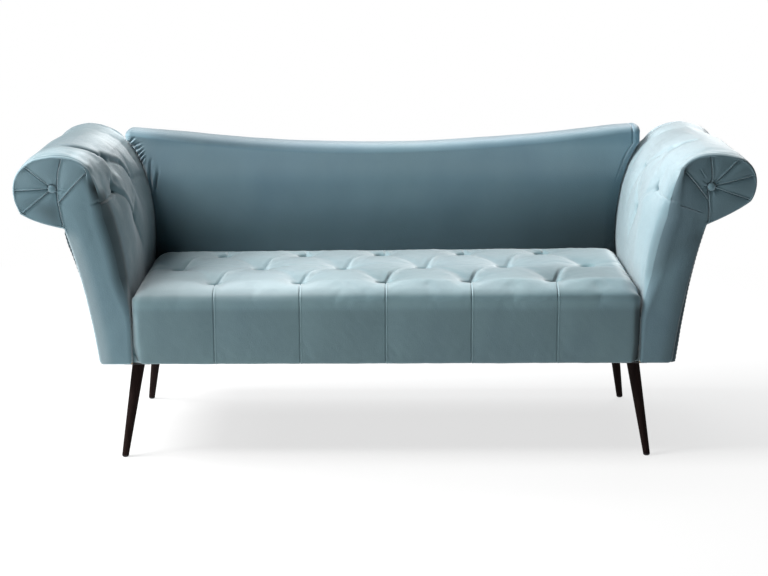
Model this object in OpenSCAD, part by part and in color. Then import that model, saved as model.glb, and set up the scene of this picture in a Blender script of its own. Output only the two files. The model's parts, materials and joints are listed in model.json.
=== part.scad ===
// Double-ended fainting couch: a deep-tufted seat between two scrolled, tufted arms,
// with a plain dished back and four splayed legs.
// The origin is on the floor under the middle of the couch. Seen from the front, X runs to the
// right. Y runs back and Z runs up. Right and left name the sides as they are seen from the front.

/* [Overall] */
// Clear width between the feet of the two arms
seat_w = 1254; // [1100:2:1500]
// Depth from the crown of the seat's front to the outside back
overall_d = 600; // [520:2:700]
// Height of the frame's underside above the floor
leg_h = 234; // [180:2:300]

/* [Seat] */
// Height of the seat's top over the frame's underside
seat_h = 194; // [170:2:230]
// Height of the timber rails of the seat
rail_h = 95; // [70:1:110]
// Thickness of the timber rails
rail_t = 28; // [22:1:34]
// Thickness of the padding in front of the front rail
apron_t = 20; // [14:1:30]
// How far the padding swells out between its seams
seat_swell = 8; // [4:1:14]
// Radius of the seat's rolled front edge
seat_roll_r = 34; // [26:1:50]
// Distance between two tufts of one row
tuft_gap = 211; // [190:1:225]
// Distance of the first row of tufts from the front
tuft_row_start = 78; // [66:1:95]
// Distance of the last row of tufts from the back pad
tuft_row_end = 55; // [40:1:80]
// Depth of a tuft below the seat's top
tuft_depth = 34; // [20:1:45]

/* [Arms] */
// Height of an arm's facing over the frame's underside
arm_h = 520; // [470:2:580]
// Reach of the scroll from the arm's inner foot
scroll_reach = 273; // [240:1:310]
// Width of an arm at its foot
arm_foot_w = 79; // [70:1:95]
// Reach of the neck under the scroll
neck_reach = 152; // [135:1:170]
// Thickness of the padding over the arm's boards
arm_pad_t = 30; // [24:1:38]
// How far the arm's padding swells past the facing's edge
arm_swell = 44; // [30:1:50]
// Height over the frame's underside at which the arm's padding starts
arm_pad_foot = 115; // [106:1:124]
// Depth of a tuft in the arm's padding
arm_tuft_depth = 20; // [10:1:24]
// Thickness of the plywood profile boards
board_t = 18; // [12:1:22]
// Thickness of the padded front facing
facing_t = 12; // [8:1:16]
// Thickness of the rear facing
rear_facing_t = 10; // [6:1:14]
// Thickness of the outside arm panel
outer_panel_t = 6; // [4:1:9]
// Thickness of the bent liner under the arm's padding
liner_t = 3; // [2:1:5]
// Width and depth of the arm's inner battens
batten = 24; // [18:1:28]
// Radius of the covered button on the scroll
button_r = 10; // [7:1:14]

/* [Back] */
// How far the back's corners rise over the arm's facing
back_corner_rise = 3; // [-10:1:20]
// Depth of the dish in the back's top
back_dish = 42; // [0:1:60]
// Thickness of the back's padding at its foot
back_pad_t = 68; // [50:1:80]
// How far the back's front face leans back towards its top
back_lean = 24; // [10:1:34]
// Depth of the back's timber frame
back_frame_d = 65; // [50:1:72]
// Padding over the top rail
back_top_pad = 22; // [16:1:30]
// Height of the top rail at its low middle
top_rail_h = 72; // [50:1:90]
// Width of a back post
post_w = 40; // [30:1:50]
// Thickness of the outside back panel
back_panel_t = 10; // [6:1:12]

/* [Legs] */
// Radius of a leg at its top
leg_top_r = 16; // [13:0.5:19]
// Radius of a leg at its foot
leg_foot_r = 8.5; // [7:0.5:12]
// How far a foot stands out sideways from its leg's top
leg_splay_side = 34; // [0:1:44]
// How far a front foot stands out to the front from its leg's top
leg_splay_front = 54; // [20:1:66]
// How far a rear foot stands out to the back from its leg's top
leg_splay_rear = 38; // [0:1:44]
// Distance of a leg's top from the seat's side face
leg_inset_side = 12; // [8:1:16]
// Distance of a front leg's top from the front
leg_inset_front = 55; // [52:1:60]
// Distance of a rear leg's top from the outside back
leg_inset_rear = 135; // [130:1:140]
// Side of the square leg plate
plate_side = 64; // [60:1:70]
// Thickness of the leg plate
plate_t = 3; // [2:0.5:4]
// Height of the plastic glide under a foot
glide_h = 5; // [4:0.5:8]

/* [Fasteners] */
// Radius of the frame bolts and the legs' hanger bolts
bolt_r = 4; // [3:0.5:5]
// Radius of a plate screw
screw_r = 2.25; // [1.75:0.25:2.5]
// Length of a plate screw in the timber
screw_len = 22; // [14:1:30]
// Width of a webbing strap
strap_w = 60; // [40:1:70]
// Thickness of a webbing strap
strap_t = 2; // [1.5:0.5:3]
// Clearance between a fastener and its hole
hole_gap = 0.25; // [0.1:0.05:0.5]
// Clearance between soft parts and what they lie against
soft_gap = 0.4; // [0.3:0.1:0.8]

/* [Hidden] */
$fn = 48;
over = 2;
arm_x = seat_w / 2;
// How far the front feet reach past the crown of the seat's front
toe_out = max(0, leg_splay_front + leg_foot_r - leg_inset_front);
y_front = (toe_out - overall_d) / 2;
y_back = y_front + overall_d;
y_face = y_front + seat_swell;
y_board = y_face + facing_t;
y_board_rear = y_back - back_panel_t - rear_facing_t;
y_core = y_back - back_panel_t - back_frame_d;
y_seat_back = y_core - back_pad_t;
seat_d = y_seat_back - y_face;
tuft_row_gap = (seat_d - tuft_row_start - tuft_row_end) / 2;
y_rail_front = y_face + apron_t;
deck_h = rail_h + 2 * strap_t;
back_corner_h = arm_h + back_corner_rise;
back_mid_h = back_corner_h - back_dish;
side_rail_x = arm_x - rail_t;

// Curve helpers. A path is a list of points, and its inside lies to the right of its run.
function bezier_at(c, t) = let (s = 1 - t)
    s * s * s * c[0] + 3 * s * s * t * c[1] + 3 * s * t * t * c[2] + t * t * t * c[3];
function bezier(c, count, from = 0) =
    [for (i = [0:count]) bezier_at(c, from + (1 - from) * i / count)];
function tail(path) = [for (i = [1:len(path) - 1]) path[i]];
function unit2(v) = v / norm(v);
function run_at(path, i) =
    unit2(path[min(i + 1, len(path) - 1)] - path[max(i - 1, 0)]);
function right_at(path, i) = let (r = run_at(path, i)) [r[1], -r[0]];
function inset(path, by) = [for (i = [0:len(path) - 1]) path[i] + by * right_at(path, i)];
function every_second(path) = [for (i = [0:2:len(path) - 1]) path[i]];
function reversed(path) = [for (i = [len(path) - 1:-1:0]) path[i]];

// Arm section: across from the arm's inner foot, and up from the frame's underside
inner_curve_shares = [[0, 0], [0, 0.44], [0.09, 0.635], [0.31, 0.93]];
top_curve_shares = [[0.31, 0.93], [0.45, 1.03], [0.72, 0.995], [0.80, 0.985]];
nose_curve_shares = [[0.80, 0.985], [1.02, 0.97], [1.04, 0.83], [0.955, 0.765]];
under_curve_shares = [[0.955, 0.765], [0.86, 0.73], [0.70, 0.69]];
neck_height_share = 0.665;
outer_bow_shares = [[0.50, 0.68], [0.18, 0.32]];
function arm_points(shares) = [for (s = shares) [s[0] * scroll_reach, s[1] * arm_h]];
neck = [neck_reach, neck_height_share * arm_h];
foot_to_neck = neck[0] - arm_foot_w;
inner_curve = arm_points(inner_curve_shares);
top_curve = arm_points(top_curve_shares);
nose_curve = arm_points(nose_curve_shares);
under_curve = concat(arm_points(under_curve_shares), [neck]);
outer_curve = [
    neck,
    [arm_foot_w + outer_bow_shares[0][0] * foot_to_neck, outer_bow_shares[0][1] * neck[1]],
    [arm_foot_w + outer_bow_shares[1][0] * foot_to_neck, outer_bow_shares[1][1] * neck[1]],
    [arm_foot_w, 0]
];
// Share of a rising curve's run at which it reaches a height, found by halving
function share_at_height(c, h, low = 0, high = 1, left = 16) = let (mid = (low + high) / 2)
    left == 0 ? mid
    : bezier_at(c, mid)[1] < h ? share_at_height(c, h, mid, high, left - 1)
    : share_at_height(c, h, low, mid, left - 1);
pad_start_share = share_at_height(inner_curve, arm_pad_foot);
inner_steps = 10;
top_steps = 6;
nose_steps = 6;
under_steps = 4;
outer_steps = 8;
pad_path = concat(
    bezier(inner_curve, inner_steps, pad_start_share),
    tail(bezier(top_curve, top_steps)),
    tail(bezier(nose_curve, nose_steps)),
    tail(bezier(under_curve, under_steps))
);
core_path = every_second(inset(pad_path, arm_pad_t));
outer_path = bezier(outer_curve, outer_steps);
core_outer_path = inset(outer_path, outer_panel_t);
facing_outline = concat([[0, 0]], bezier(inner_curve, inner_steps, pad_start_share),
    tail(bezier(top_curve, top_steps)), tail(bezier(nose_curve, nose_steps)),
    tail(bezier(under_curve, under_steps)), tail(outer_path));
board_outline = concat([[0, 0], [0, arm_pad_foot]], core_path, core_outer_path);

// How the arm's padding swells along its path, in shares of the swell
pad_swell_shares = [
    [0, 0.06], [0.10, 0.30], [0.20, 0.72], [0.28, 0.86], [0.31, 0.84], [0.35, 0.74],
    [0.385, 0.60], [0.42, 0.52], [0.54, 0.46], [0.69, 0.34], [0.85, 0.13], [1, 0]
];
// Rows of tufts along the pad's path, and the tufts' places along the arm's depth
arm_tuft_rows_share = [0.20, 0.33, 0.46];
arm_tuft_even_share = [0.53];
arm_tuft_odd_share = [0.30, 0.79];
// Shares of the arm's depth over which the padding rounds down to its front and rear seams
pad_edge_shares = [0.19, 0.11];
pad_depth_steps = 24;
tuft_spread = 30;

// Place helpers
module upright(y, t) translate([0, y + t, 0]) rotate([90, 0, 0]) linear_extrude(t) children();
module at_arm() translate([arm_x, 0, leg_h]) children();
module other_side() mirror([1, 0, 0]) children();
module box_at(from, to) translate(from) cube(to - from);
module rod_x(p, r, len) translate(p) rotate([0, 90, 0]) cylinder(r = r, h = len);
module rod_y(p, r, len) translate(p) rotate([-90, 0, 0]) cylinder(r = r, h = len);

// Soft solids are lofted from rings of equal count. A ring is its outer path, then its inner
// path backwards. A cap joins both paths, and inner_start[k] is the outer point at which the
// inner path's point k takes over.
function ring_faces(rings, size) = [
    for (i = [0:rings - 2], j = [0:size - 1])
        let (a = i * size + j, b = i * size + (j + 1) % size, c = b + size, d = a + size)
        each [[a, c, b], [a, d, c]]
];
function inner_of(j, inner_start) = len([for (s = inner_start) if (s <= j) s]) - 1;
function cap_faces(first, outer, size, inner_start, turn) = [
    for (j = [0:outer - 2])
        let (k = inner_of(j, inner_start), k2 = inner_of(j + 1, inner_start),
            o = first + j, q = first + size - 1 - k, q2 = first + size - 1 - k2)
        each concat(
            [turn ? [o, q, o + 1] : [o, o + 1, q]],
            k2 > k ? [turn ? [o + 1, q, q2] : [o + 1, q2, q]] : []
        )
];
module loft(rings, outer, inner_start) {
    size = len(rings[0]);
    last = (len(rings) - 1) * size;
    polyhedron(
        points = [for (r = rings) each r],
        faces = concat(
            ring_faces(len(rings), size),
            cap_faces(0, outer, size, inner_start, false),
            cap_faces(last, outer, size, inner_start, true)
        )
    );
}

// Leg places: front is 1 or -1 for the front or rear leg of the +X side
leg_top_x = arm_x - leg_inset_side;
function leg_top(front) =
    [leg_top_x, front > 0 ? y_front + leg_inset_front : y_back - leg_inset_rear, leg_h - plate_t];
function leg_splay(front) = front > 0 ? leg_splay_front : leg_splay_rear;
function leg_foot(front) =
    leg_top(front) + [leg_splay_side, -front * leg_splay(front), glide_h - leg_h + plate_t];
screw_off = plate_side * 0.34;
module each_leg() {
    for (side = [0, 1]) mirror([side, 0, 0]) for (front = [1, -1]) {
        $front = front;
        children();
    }
}
module each_plate_screw() {
    each_leg() translate(leg_top($front)) for (x = [-1, 1], y = [-1, 1])
        translate([x * screw_off, y * screw_off, 0]) children();
}
module plate_screw_holes() {
    each_plate_screw() cylinder(r = screw_r + hole_gap, h = plate_t + screw_len + over);
}
module along_leg(front) {
    top = leg_top(front);
    run = leg_foot(front) - top;
    translate(top) rotate([0, acos(run[2] / norm(run)), atan2(run[1], run[0])]) children();
}
leg_len = norm(leg_foot(1) - leg_top(1));
hanger_depth = leg_len * 0.16;

leg_end_t = 1;
module leg(front) {
    color("#3a302b") difference() {
        hull() {
            translate(leg_top(front) - [0, 0, leg_end_t])
                cylinder(r = leg_top_r, h = leg_end_t, $fn = 32);
            translate(leg_foot(front)) cylinder(r = leg_foot_r, h = leg_end_t, $fn = 32);
        }
        hanger_hole(front);
        glide_pin_hole(front);
    }
}
module hanger_hole(front) {
    along_leg(front) translate([0, 0, -leg_top_r])
        cylinder(r = bolt_r + hole_gap, h = leg_top_r + hanger_depth + hole_gap);
}
glide_pin_r = leg_foot_r * 0.28;
glide_pin_len = glide_h * 2;
module glide_pin_hole(front) {
    translate(leg_foot(front))
        cylinder(r = glide_pin_r + hole_gap, h = glide_pin_len + hole_gap);
}
module foot_glides() {
    color("#1d1b1a") each_leg() translate([0, 0, -glide_h]) translate(leg_foot($front)) {
        rotate_extrude() polygon([
            [0, 0], [leg_foot_r * 0.62, 0], [leg_foot_r * 0.9, glide_h * 0.28],
            [leg_foot_r, glide_h * 0.7], [leg_foot_r, glide_h], [0, glide_h]
        ]);
        cylinder(r = glide_pin_r, h = glide_h + glide_pin_len);
    }
}
module leg_hanger_bolts() {
    color("silver") each_leg() along_leg($front) translate([0, 0, -leg_top_r])
        cylinder(r = bolt_r, h = leg_top_r + hanger_depth);
}
module leg_plates() {
    color("#55585a") difference() {
        each_leg() translate(leg_top($front)) translate([-plate_side / 2, -plate_side / 2, 0])
            cube([plate_side, plate_side, plate_t]);
        plate_screw_holes();
        hanger_clearance();
    }
}
module hanger_clearance() {
    each_leg() hanger_hole($front);
}
module leg_plate_screws() {
    color("silver") each_plate_screw() {
        cylinder(r = screw_r, h = plate_t + screw_len);
        translate([0, 0, -screw_r]) cylinder(r1 = screw_r * 1.2, r2 = screw_r * 2, h = screw_r);
    }
}

// Seat frame
module seat_front_rail() {
    color("burlywood") difference() {
        box_at([-side_rail_x, y_rail_front, leg_h],
            [side_rail_x, y_rail_front + rail_t, leg_h + rail_h]);
        plate_screw_holes();
        hanger_clearance();
    }
}
module seat_rear_rail() {
    color("burlywood") difference() {
        box_at([-side_rail_x, y_core - rail_t, leg_h], [side_rail_x, y_core, leg_h + rail_h]);
        back_bolt_holes();
    }
}
module seat_side_rail() {
    color("burlywood") difference() {
        box_at([side_rail_x, y_rail_front, leg_h], [arm_x, y_core, leg_h + rail_h]);
        arm_bolt_holes();
        hanger_clearance();
    }
}
cross_rail_share = 1 / 3;
module seat_cross_rails() {
    color("burlywood") for (side = [-1, 1])
        translate([side * arm_x * cross_rail_share - rail_t / 2, y_rail_front + rail_t, leg_h])
            cube([rail_t, y_core - y_rail_front - 2 * rail_t, rail_h * 0.72]);
}
block_x = side_rail_x * 0.1;
block_front_d = rail_h * 0.62;
block_rear_d = rail_h * 0.72;
module corner_blocks() {
    color("tan") difference() {
        for (side = [0, 1]) mirror([side, 0, 0]) {
            box_at([side_rail_x - block_x, y_rail_front + rail_t, leg_h],
                [side_rail_x, y_rail_front + rail_t + block_front_d, leg_h + rail_h * 0.8]);
            box_at([side_rail_x - block_x, y_core - rail_t - block_rear_d, leg_h],
                [side_rail_x, y_core - rail_t, leg_h + rail_h * 0.8]);
        }
        plate_screw_holes();
        arm_bolt_holes();
        back_bolt_holes();
        hanger_clearance();
    }
}
long_straps = 3;
cross_straps = 10;
strap_hem = rail_t - 2 * strap_t;
module seat_webbing_long() {
    span = y_core - y_rail_front - 2 * rail_t;
    color("#2c2c2c") for (i = [1:long_straps])
        translate([-arm_x, y_rail_front + rail_t + span * i / (long_straps + 1) - strap_w / 2,
            leg_h + rail_h])
            cube([seat_w, strap_w, strap_t]);
}
module seat_webbing_cross() {
    color("#3a3a3a") for (i = [0:cross_straps - 1]) {
        x = (i - (cross_straps - 1) / 2) * (2 * side_rail_x / cross_straps) - strap_w / 2;
        box_at([x, y_rail_front, leg_h + rail_h + strap_t],
            [x + strap_w, y_core, leg_h + rail_h + 2 * strap_t]);
        for (y = [y_rail_front, y_core - strap_hem])
            translate([x, y, leg_h + rail_h]) cube([strap_w, strap_hem, strap_t]);
    }
}
cover_t = 1.2;
cover_x = arm_x + arm_foot_w - outer_panel_t;
module dust_cover() {
    color("#202020") difference() {
        box_at([-cover_x, y_rail_front + rail_t / 4, leg_h - cover_t],
            [cover_x, y_back - back_panel_t - rear_facing_t, leg_h]);
        each_leg() translate(leg_top($front)) translate([
            -plate_side / 2 - hole_gap, -plate_side / 2 - hole_gap, -over])
            cube([plate_side + 2 * hole_gap, plate_side + 2 * hole_gap, plate_t + 2 * over]);
    }
}

// Tufting. Two rows offset by half a gap make diamonds; folds run from tuft to tuft, and
// each diamond swells between its folds.
function fold(u) = pow(abs(sin(180 * u)), 0.55);
function diamonds(x, y, gap, row_gap) = let (a = x / gap, b = y / (2 * row_gap))
    fold(a + b) * fold(a - b);
function dimple(d, spread) = exp(-(d * d) / (spread * spread));

// Seat cushion: stations along X, and an outer path from the back, over the front roll and
// down the front to the frame's underside
seat_cells = 6;
seat_half = arm_x - 4 * soft_gap;
seat_side_draw = 16;
tuft_half_cells = 2 * seat_cells + seat_cells / 2;
edge_stations_share = [0.35, 0.62, 0.82, 0.94, 1];
last_tuft_x = 2.5 * tuft_gap;
seat_stations = concat(
    [for (s = [4:-1:0]) -last_tuft_x - (seat_half - last_tuft_x) * edge_stations_share[s]],
    [for (i = [-tuft_half_cells:tuft_half_cells]) i * tuft_gap / seat_cells],
    [for (s = [0:4]) last_tuft_x + (seat_half - last_tuft_x) * edge_stations_share[s]]
);
tuft_rows = [for (r = [0:2]) y_face + tuft_row_start + r * tuft_row_gap];
seat_row_cells = 5;
seat_top_ys = concat(
    [y_seat_back - soft_gap, (y_seat_back + tuft_rows[2]) / 2],
    [for (r = [1, 0], i = [0:seat_row_cells - 1])
        tuft_rows[r + 1] - tuft_row_gap * i / seat_row_cells],
    [tuft_rows[0], (tuft_rows[0] + y_face + seat_roll_r) / 2]
);
roll_steps = 5;
front_steps = 3;
seat_inner_start = [0, len(seat_top_ys) - 1, len(seat_top_ys) + roll_steps + front_steps - 1];
function side_crown(x) = let (e = max(0, (abs(x) - last_tuft_x) / (seat_half - last_tuft_x)))
    1 - pow(e, 3);
function seat_top_z(x, y) = let (
    row_y = y - tuft_rows[1],
    pillow = diamonds(x - tuft_gap / 2, row_y, tuft_gap, tuft_row_gap),
    near = min([for (r = [0:2], i = [-3:3])
        norm([x - (i + (r % 2) / 2) * tuft_gap, y - tuft_rows[r]])])
)
    leg_h + seat_h + side_crown(x) * seat_swell
        + (pillow - 0.8) * seat_swell * 1.6 - tuft_depth * dimple(near, tuft_spread)
        - (1 - side_crown(x)) * seat_side_draw;
// The front swells between its seams, and the end panels swell from their seam to the corner
last_seam_x = 2 * tuft_gap;
function panel_swell(x) = let (e = max(0, abs(x) - last_seam_x) / (seat_half - last_seam_x))
    seat_swell * (e > 0 ? side_crown(x) * sin(95 * e) : pow(abs(sin(180 * x / tuft_gap)), 0.5));
function seat_ring(x) = let (
    draw = (1 - side_crown(x)) * seat_side_draw,
    swell = panel_swell(x),
    roll_z = leg_h + seat_h - seat_roll_r - draw,
    y0 = y_face + draw * 0.6
) concat(
    [for (y = seat_top_ys) [x, y, seat_top_z(x, y)]],
    [for (i = [1:roll_steps]) let (a = 90 * i / roll_steps)
        [x, y0 + seat_roll_r - (seat_roll_r + swell) * sin(a), roll_z + seat_roll_r * cos(a)]],
    [for (i = [1:front_steps]) let (s = i / front_steps)
        [x, y0 - swell * (1 - s * s * 0.7), roll_z + (leg_h - roll_z) * s]],
    [[x, y_rail_front - soft_gap, leg_h], [x, y_rail_front - soft_gap, leg_h + deck_h + soft_gap],
        [x, y_seat_back - soft_gap, leg_h + deck_h + soft_gap]]
);
module seat_cushion() {
    color("#86a4ae") loft([for (x = seat_stations) seat_ring(x)],
        len(seat_top_ys) + roll_steps + front_steps, seat_inner_start);
}

// Arms
pad_count = len(pad_path);
y_pad_from = y_board + soft_gap;
y_pad_to = y_board_rear - soft_gap;
function pad_edge(d) = let (e = min(1, d / pad_edge_shares[0], (1 - d) / pad_edge_shares[1]))
    sqrt(1 - pow(1 - e, 2));
function arm_tuft_pull(s, d) = let (
    reach = y_pad_to - y_pad_from,
    path_len = arm_h + scroll_reach,
    near = min([for (r = [0:2], t = r == 1 ? arm_tuft_odd_share : arm_tuft_even_share)
        norm([(s - arm_tuft_rows_share[r]) * path_len, (d - t) * reach])])
) dimple(near, tuft_spread);
function pad_swell(s, d) = arm_swell * lookup(s, pad_swell_shares) * pad_edge(d)
    - arm_tuft_depth * arm_tuft_pull(s, d) * pad_edge(d);
function pad_ring(d) = let (y = y_pad_from + (y_pad_to - y_pad_from) * d) concat(
    [for (i = [0:pad_count - 1])
        let (p = pad_path[i] - pad_swell(i / (pad_count - 1), d) * right_at(pad_path, i))
        [p[0], y, p[1]]],
    [for (p = reversed(core_path)) [p[0], y, p[1]]]
);
pad_inner_start = [for (k = [0:len(core_path) - 1]) 2 * k];
module arm_pad() {
    color("#9db8c1") at_arm()
        loft([for (i = [0:pad_depth_steps]) pad_ring(i / pad_depth_steps)],
            pad_count, pad_inner_start);
}
module arm_front_board() {
    color("wheat") difference() {
        at_arm() upright(y_board, board_t) polygon(board_outline);
        plate_screw_holes();
    }
}
module arm_rear_board() {
    color("wheat") at_arm() upright(y_board_rear - board_t, board_t) polygon(board_outline);
}
module arm_bottom_rail() {
    color("burlywood") difference() {
        box_at([arm_x, y_board + board_t, leg_h],
            [arm_x + rail_t, y_board_rear - board_t, leg_h + rail_h]);
        plate_screw_holes();
        arm_bolt_holes();
        hanger_clearance();
    }
}
// Battens run from board to board: at the foot of the padding, in the scroll and at the neck
batten_place_shares = [[0.235, 0.38], [0.58, 0.83], [0.42, 0.62]];
module arm_battens() {
    color("burlywood") at_arm() for (p = arm_points(batten_place_shares))
        translate([p[0] - batten / 2, y_board + board_t, p[1] - batten / 2])
            cube([batten, y_board_rear - y_board - 2 * board_t, batten]);
}
module arm_liner() {
    color("peru") at_arm() upright(y_board + board_t, y_board_rear - y_board - 2 * board_t)
        polygon(concat(core_path, reversed(inset(core_path, liner_t))));
}
module arm_outer_panel() {
    color("#6d8b96") at_arm() upright(y_board + soft_gap, y_board_rear - y_board - 2 * soft_gap)
        polygon(concat(outer_path, reversed(core_outer_path)));
}

// Front facing: the fan of pleats runs from the button to the scroll's edge, and its creases
// are shallow grooves. Each crease is given by its angle round the button.
button_place_share = [0.615, 0.842];
button_at = arm_points([button_place_share])[0];
fan_angle_shares = [0.30, 0.155, 0.02, -0.105, -0.275];
crease_w = 3;
diagonal_crease_shares = [[0.33, 0.93], [0.555, 0.775]];
lower_crease_shares = [[0.26, 0.77], [0.53, 0.725]];
module crease(from, to) {
    run = to - from;
    translate([from[0], 0, from[1]]) rotate([0, -atan2(run[1], run[0]), 0])
        translate([0, y_face, 0]) rotate([45, 0, 0])
            translate([0, -crease_w / 2, -crease_w / 2]) cube([norm(run), crease_w, crease_w]);
}
module arm_front_facing() {
    color("#7f9ca7") at_arm() difference() {
        upright(y_face, facing_t) polygon(facing_outline);
        for (share = fan_angle_shares) {
            a = 360 * share;
            crease(button_at + button_r * [cos(a), sin(a)],
                button_at + scroll_reach * [cos(a), sin(a)]);
        }
        crease(arm_points(diagonal_crease_shares)[0], arm_points(diagonal_crease_shares)[1]);
        crease(arm_points(lower_crease_shares)[0], arm_points(lower_crease_shares)[1]);
        rod_y([button_at[0], y_face - over, button_at[1]], button_shank_r + hole_gap,
            facing_t + 2 * over);
    }
}
module arm_rear_facing() {
    color("#6d8b96") at_arm() upright(y_board_rear, rear_facing_t) polygon(facing_outline);
}
button_shank_r = button_r * 0.3;
button_proud = button_r * 0.55;
module scroll_button() {
    color("#8aa8b2") at_arm() translate([button_at[0], y_face, button_at[1]])
        rotate([90, 0, 0]) {
            intersection() {
                translate([0, 0, button_proud - button_dome_r]) sphere(r = button_dome_r);
                cylinder(r = button_r, h = button_dome_r);
            }
            translate([0, 0, -facing_t]) cylinder(r = button_shank_r, h = facing_t);
        }
}
button_dome_r = (button_r * button_r + button_proud * button_proud) / (2 * button_proud);

// Bolts: two through each side rail into the arm, and two through each back post
bolt_head_r = bolt_r * 1.8;
bolt_head_h = bolt_r * 1.2;
arm_bolt_ys = [for (s = [0.34, 0.66]) y_rail_front + (y_core - y_rail_front) * s];
arm_bolt_z = leg_h + rail_h / 2;
module arm_bolt_holes() {
    for (side = [0, 1]) mirror([side, 0, 0]) for (y = arm_bolt_ys)
        rod_x([side_rail_x - over, y, arm_bolt_z], bolt_r + hole_gap, 2 * rail_t + 2 * over);
}
module arm_bolts() {
    color("silver") for (side = [0, 1]) mirror([side, 0, 0]) for (y = arm_bolt_ys) {
        rod_x([side_rail_x - bolt_head_h, y, arm_bolt_z], bolt_head_r, bolt_head_h);
        rod_x([side_rail_x, y, arm_bolt_z], bolt_r, 2 * rail_t + bolt_head_h);
        rod_x([arm_x + rail_t, y, arm_bolt_z], bolt_head_r, bolt_head_h);
    }
}
post_x = side_rail_x - post_w * 1.2;
back_bolt_zs = [for (s = [0.26, 0.64]) leg_h + rail_h * s];
y_bolt_head = y_core - rail_t - block_rear_d;
module back_bolt_holes() {
    for (side = [0, 1]) mirror([side, 0, 0]) for (z = back_bolt_zs)
        rod_y([post_x + post_w / 2, y_bolt_head - over, z], bolt_r + hole_gap,
            y_core - y_bolt_head + back_frame_d + 2 * over);
}
module back_bolts() {
    color("silver") for (side = [0, 1]) mirror([side, 0, 0]) for (z = back_bolt_zs) {
        rod_y([post_x + post_w / 2, y_bolt_head - bolt_head_h, z], bolt_head_r, bolt_head_h);
        rod_y([post_x + post_w / 2, y_bolt_head, z], bolt_r,
            y_core - y_bolt_head + back_frame_d - bolt_head_h - soft_gap);
        rod_y([post_x + post_w / 2, y_core + back_frame_d - bolt_head_h, z],
            bolt_head_r - hole_gap, bolt_head_h - soft_gap);
    }
}

// Back. Its top is dished, and its sides follow the swell of the arms' padding.
// Across from the middle, the top's height rises by a share of the dish.
function dish(x) = let (s = min(1, abs(x) / back_corner_x)) s * s * (1.25 - 0.25 * s * s);
function back_top_z(x) = leg_h + back_mid_h + (back_corner_h - back_mid_h) * dish(x);
// The back's side in the arm's section: the padding's inner surface, clear by the soft gap
function arm_side_point(i) = let (
    swell = arm_swell * lookup(i / (pad_count - 1), pad_swell_shares),
    p = pad_path[i] - (swell + 3 * soft_gap) * right_at(pad_path, i)
) [arm_x + p[0], leg_h + p[1]];
side_points = [for (i = [1:inner_steps - 1]) arm_side_point(i)];
back_foot_x = min([for (p = side_points) p[0]]);
back_corner_x = side_points[len(side_points) - 1][0];
rise_from = leg_h + seat_h * 1.3;
rising = [for (p = side_points) if (p[0] > back_foot_x + soft_gap && p[1] > rise_from) p];
back_mid_cells = 14;
back_foot_z = leg_h + deck_h + soft_gap;
back_stations = concat(
    [for (p = reversed(rising)) [-p[0], p[1]]],
    [for (i = [-back_mid_cells / 2:back_mid_cells / 2])
        [back_foot_x * i / (back_mid_cells / 2), back_foot_z]],
    rising
);
back_front_steps = 7;
back_round_steps = 4;
function back_ring(s) = let (
    x = s[0],
    foot = s[1],
    top = back_top_z(x),
    seam_z = top - back_top_pad,
    edge = min(1, (back_corner_x + arm_pad_t / 8 - abs(x)) / arm_pad_t),
    y_foot = y_seat_back + seat_swell * (1 - sqrt(max(0, edge))),
    y_brow = y_foot + back_lean,
    y_top = y_core + back_frame_d * 0.3
) concat(
    [for (i = [0:back_front_steps]) let (z = foot + (seam_z - foot) * i / back_front_steps)
        [x, y_foot + back_lean * (z - back_foot_z) / (seam_z - back_foot_z), z]],
    [for (i = [1:back_round_steps]) let (a = 90 * i / back_round_steps)
        [x, y_brow + (1 - cos(a)) * (y_top - y_brow), seam_z + back_top_pad * sin(a)]],
    [[x, y_back - back_panel_t - soft_gap, top - back_top_pad * 0.25]],
    [[x, y_back - back_panel_t - soft_gap, seam_z],
        [x, y_core - strap_t - soft_gap, seam_z],
        [x, y_core - strap_t - soft_gap, foot]]
);
back_outer = back_front_steps + 1 + back_round_steps + 1;
back_inner_start = [0, back_front_steps + 1, back_outer - 1];
module back_pad() {
    color("#5d7b88") loft([for (s = back_stations) back_ring(s)], back_outer, back_inner_start);
}
rail_top_cells = 12;
rail_end_x = back_corner_x - arm_pad_t;
rail_foot_z = leg_h + back_mid_h - back_top_pad - top_rail_h;
rail_end_z = back_top_z(rail_end_x) - back_top_pad - top_rail_h * 0.45;
module back_top_rail() {
    color("burlywood") upright(y_core, back_frame_d) polygon(concat(
        [[-back_foot_x + soft_gap, rail_foot_z], [back_foot_x - soft_gap, rail_foot_z],
            [rail_end_x, rail_end_z]],
        [for (i = [rail_top_cells:-1:-rail_top_cells]) let (x = rail_end_x * i / rail_top_cells)
            [x, back_top_z(x) - back_top_pad - soft_gap]],
        [[-rail_end_x, rail_end_z]]
    ));
}
module back_post() {
    color("burlywood") difference() {
        box_at([post_x, y_core, leg_h], [post_x + post_w, y_core + back_frame_d, rail_foot_z]);
        back_bolt_holes();
        for (z = back_bolt_zs)
            rod_y([post_x + post_w / 2, y_core + back_frame_d - bolt_head_h, z],
                bolt_head_r, bolt_head_h + over);
    }
}
bottom_rail_h = rail_h * 0.6;
module back_bottom_rail() {
    color("burlywood") box_at([-post_x, y_core, back_foot_z],
        [post_x, y_core + rail_t, back_foot_z + bottom_rail_h]);
}
module back_stiles() {
    color("burlywood") for (side = [-1, 1])
        translate([side * post_x * cross_rail_share - post_w / 2, y_core,
            back_foot_z + bottom_rail_h])
            cube([post_w, rail_t, rail_foot_z - back_foot_z - bottom_rail_h]);
}
back_straps = 9;
module back_webbing() {
    color("#2c2c2c") for (i = [0:back_straps - 1]) {
        x = (i - (back_straps - 1) / 2) * (2 * post_x / back_straps) - strap_w / 2;
        box_at([x, y_core - strap_t, back_foot_z],
            [x + strap_w, y_core, rail_foot_z + top_rail_h / 2]);
    }
}
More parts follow.
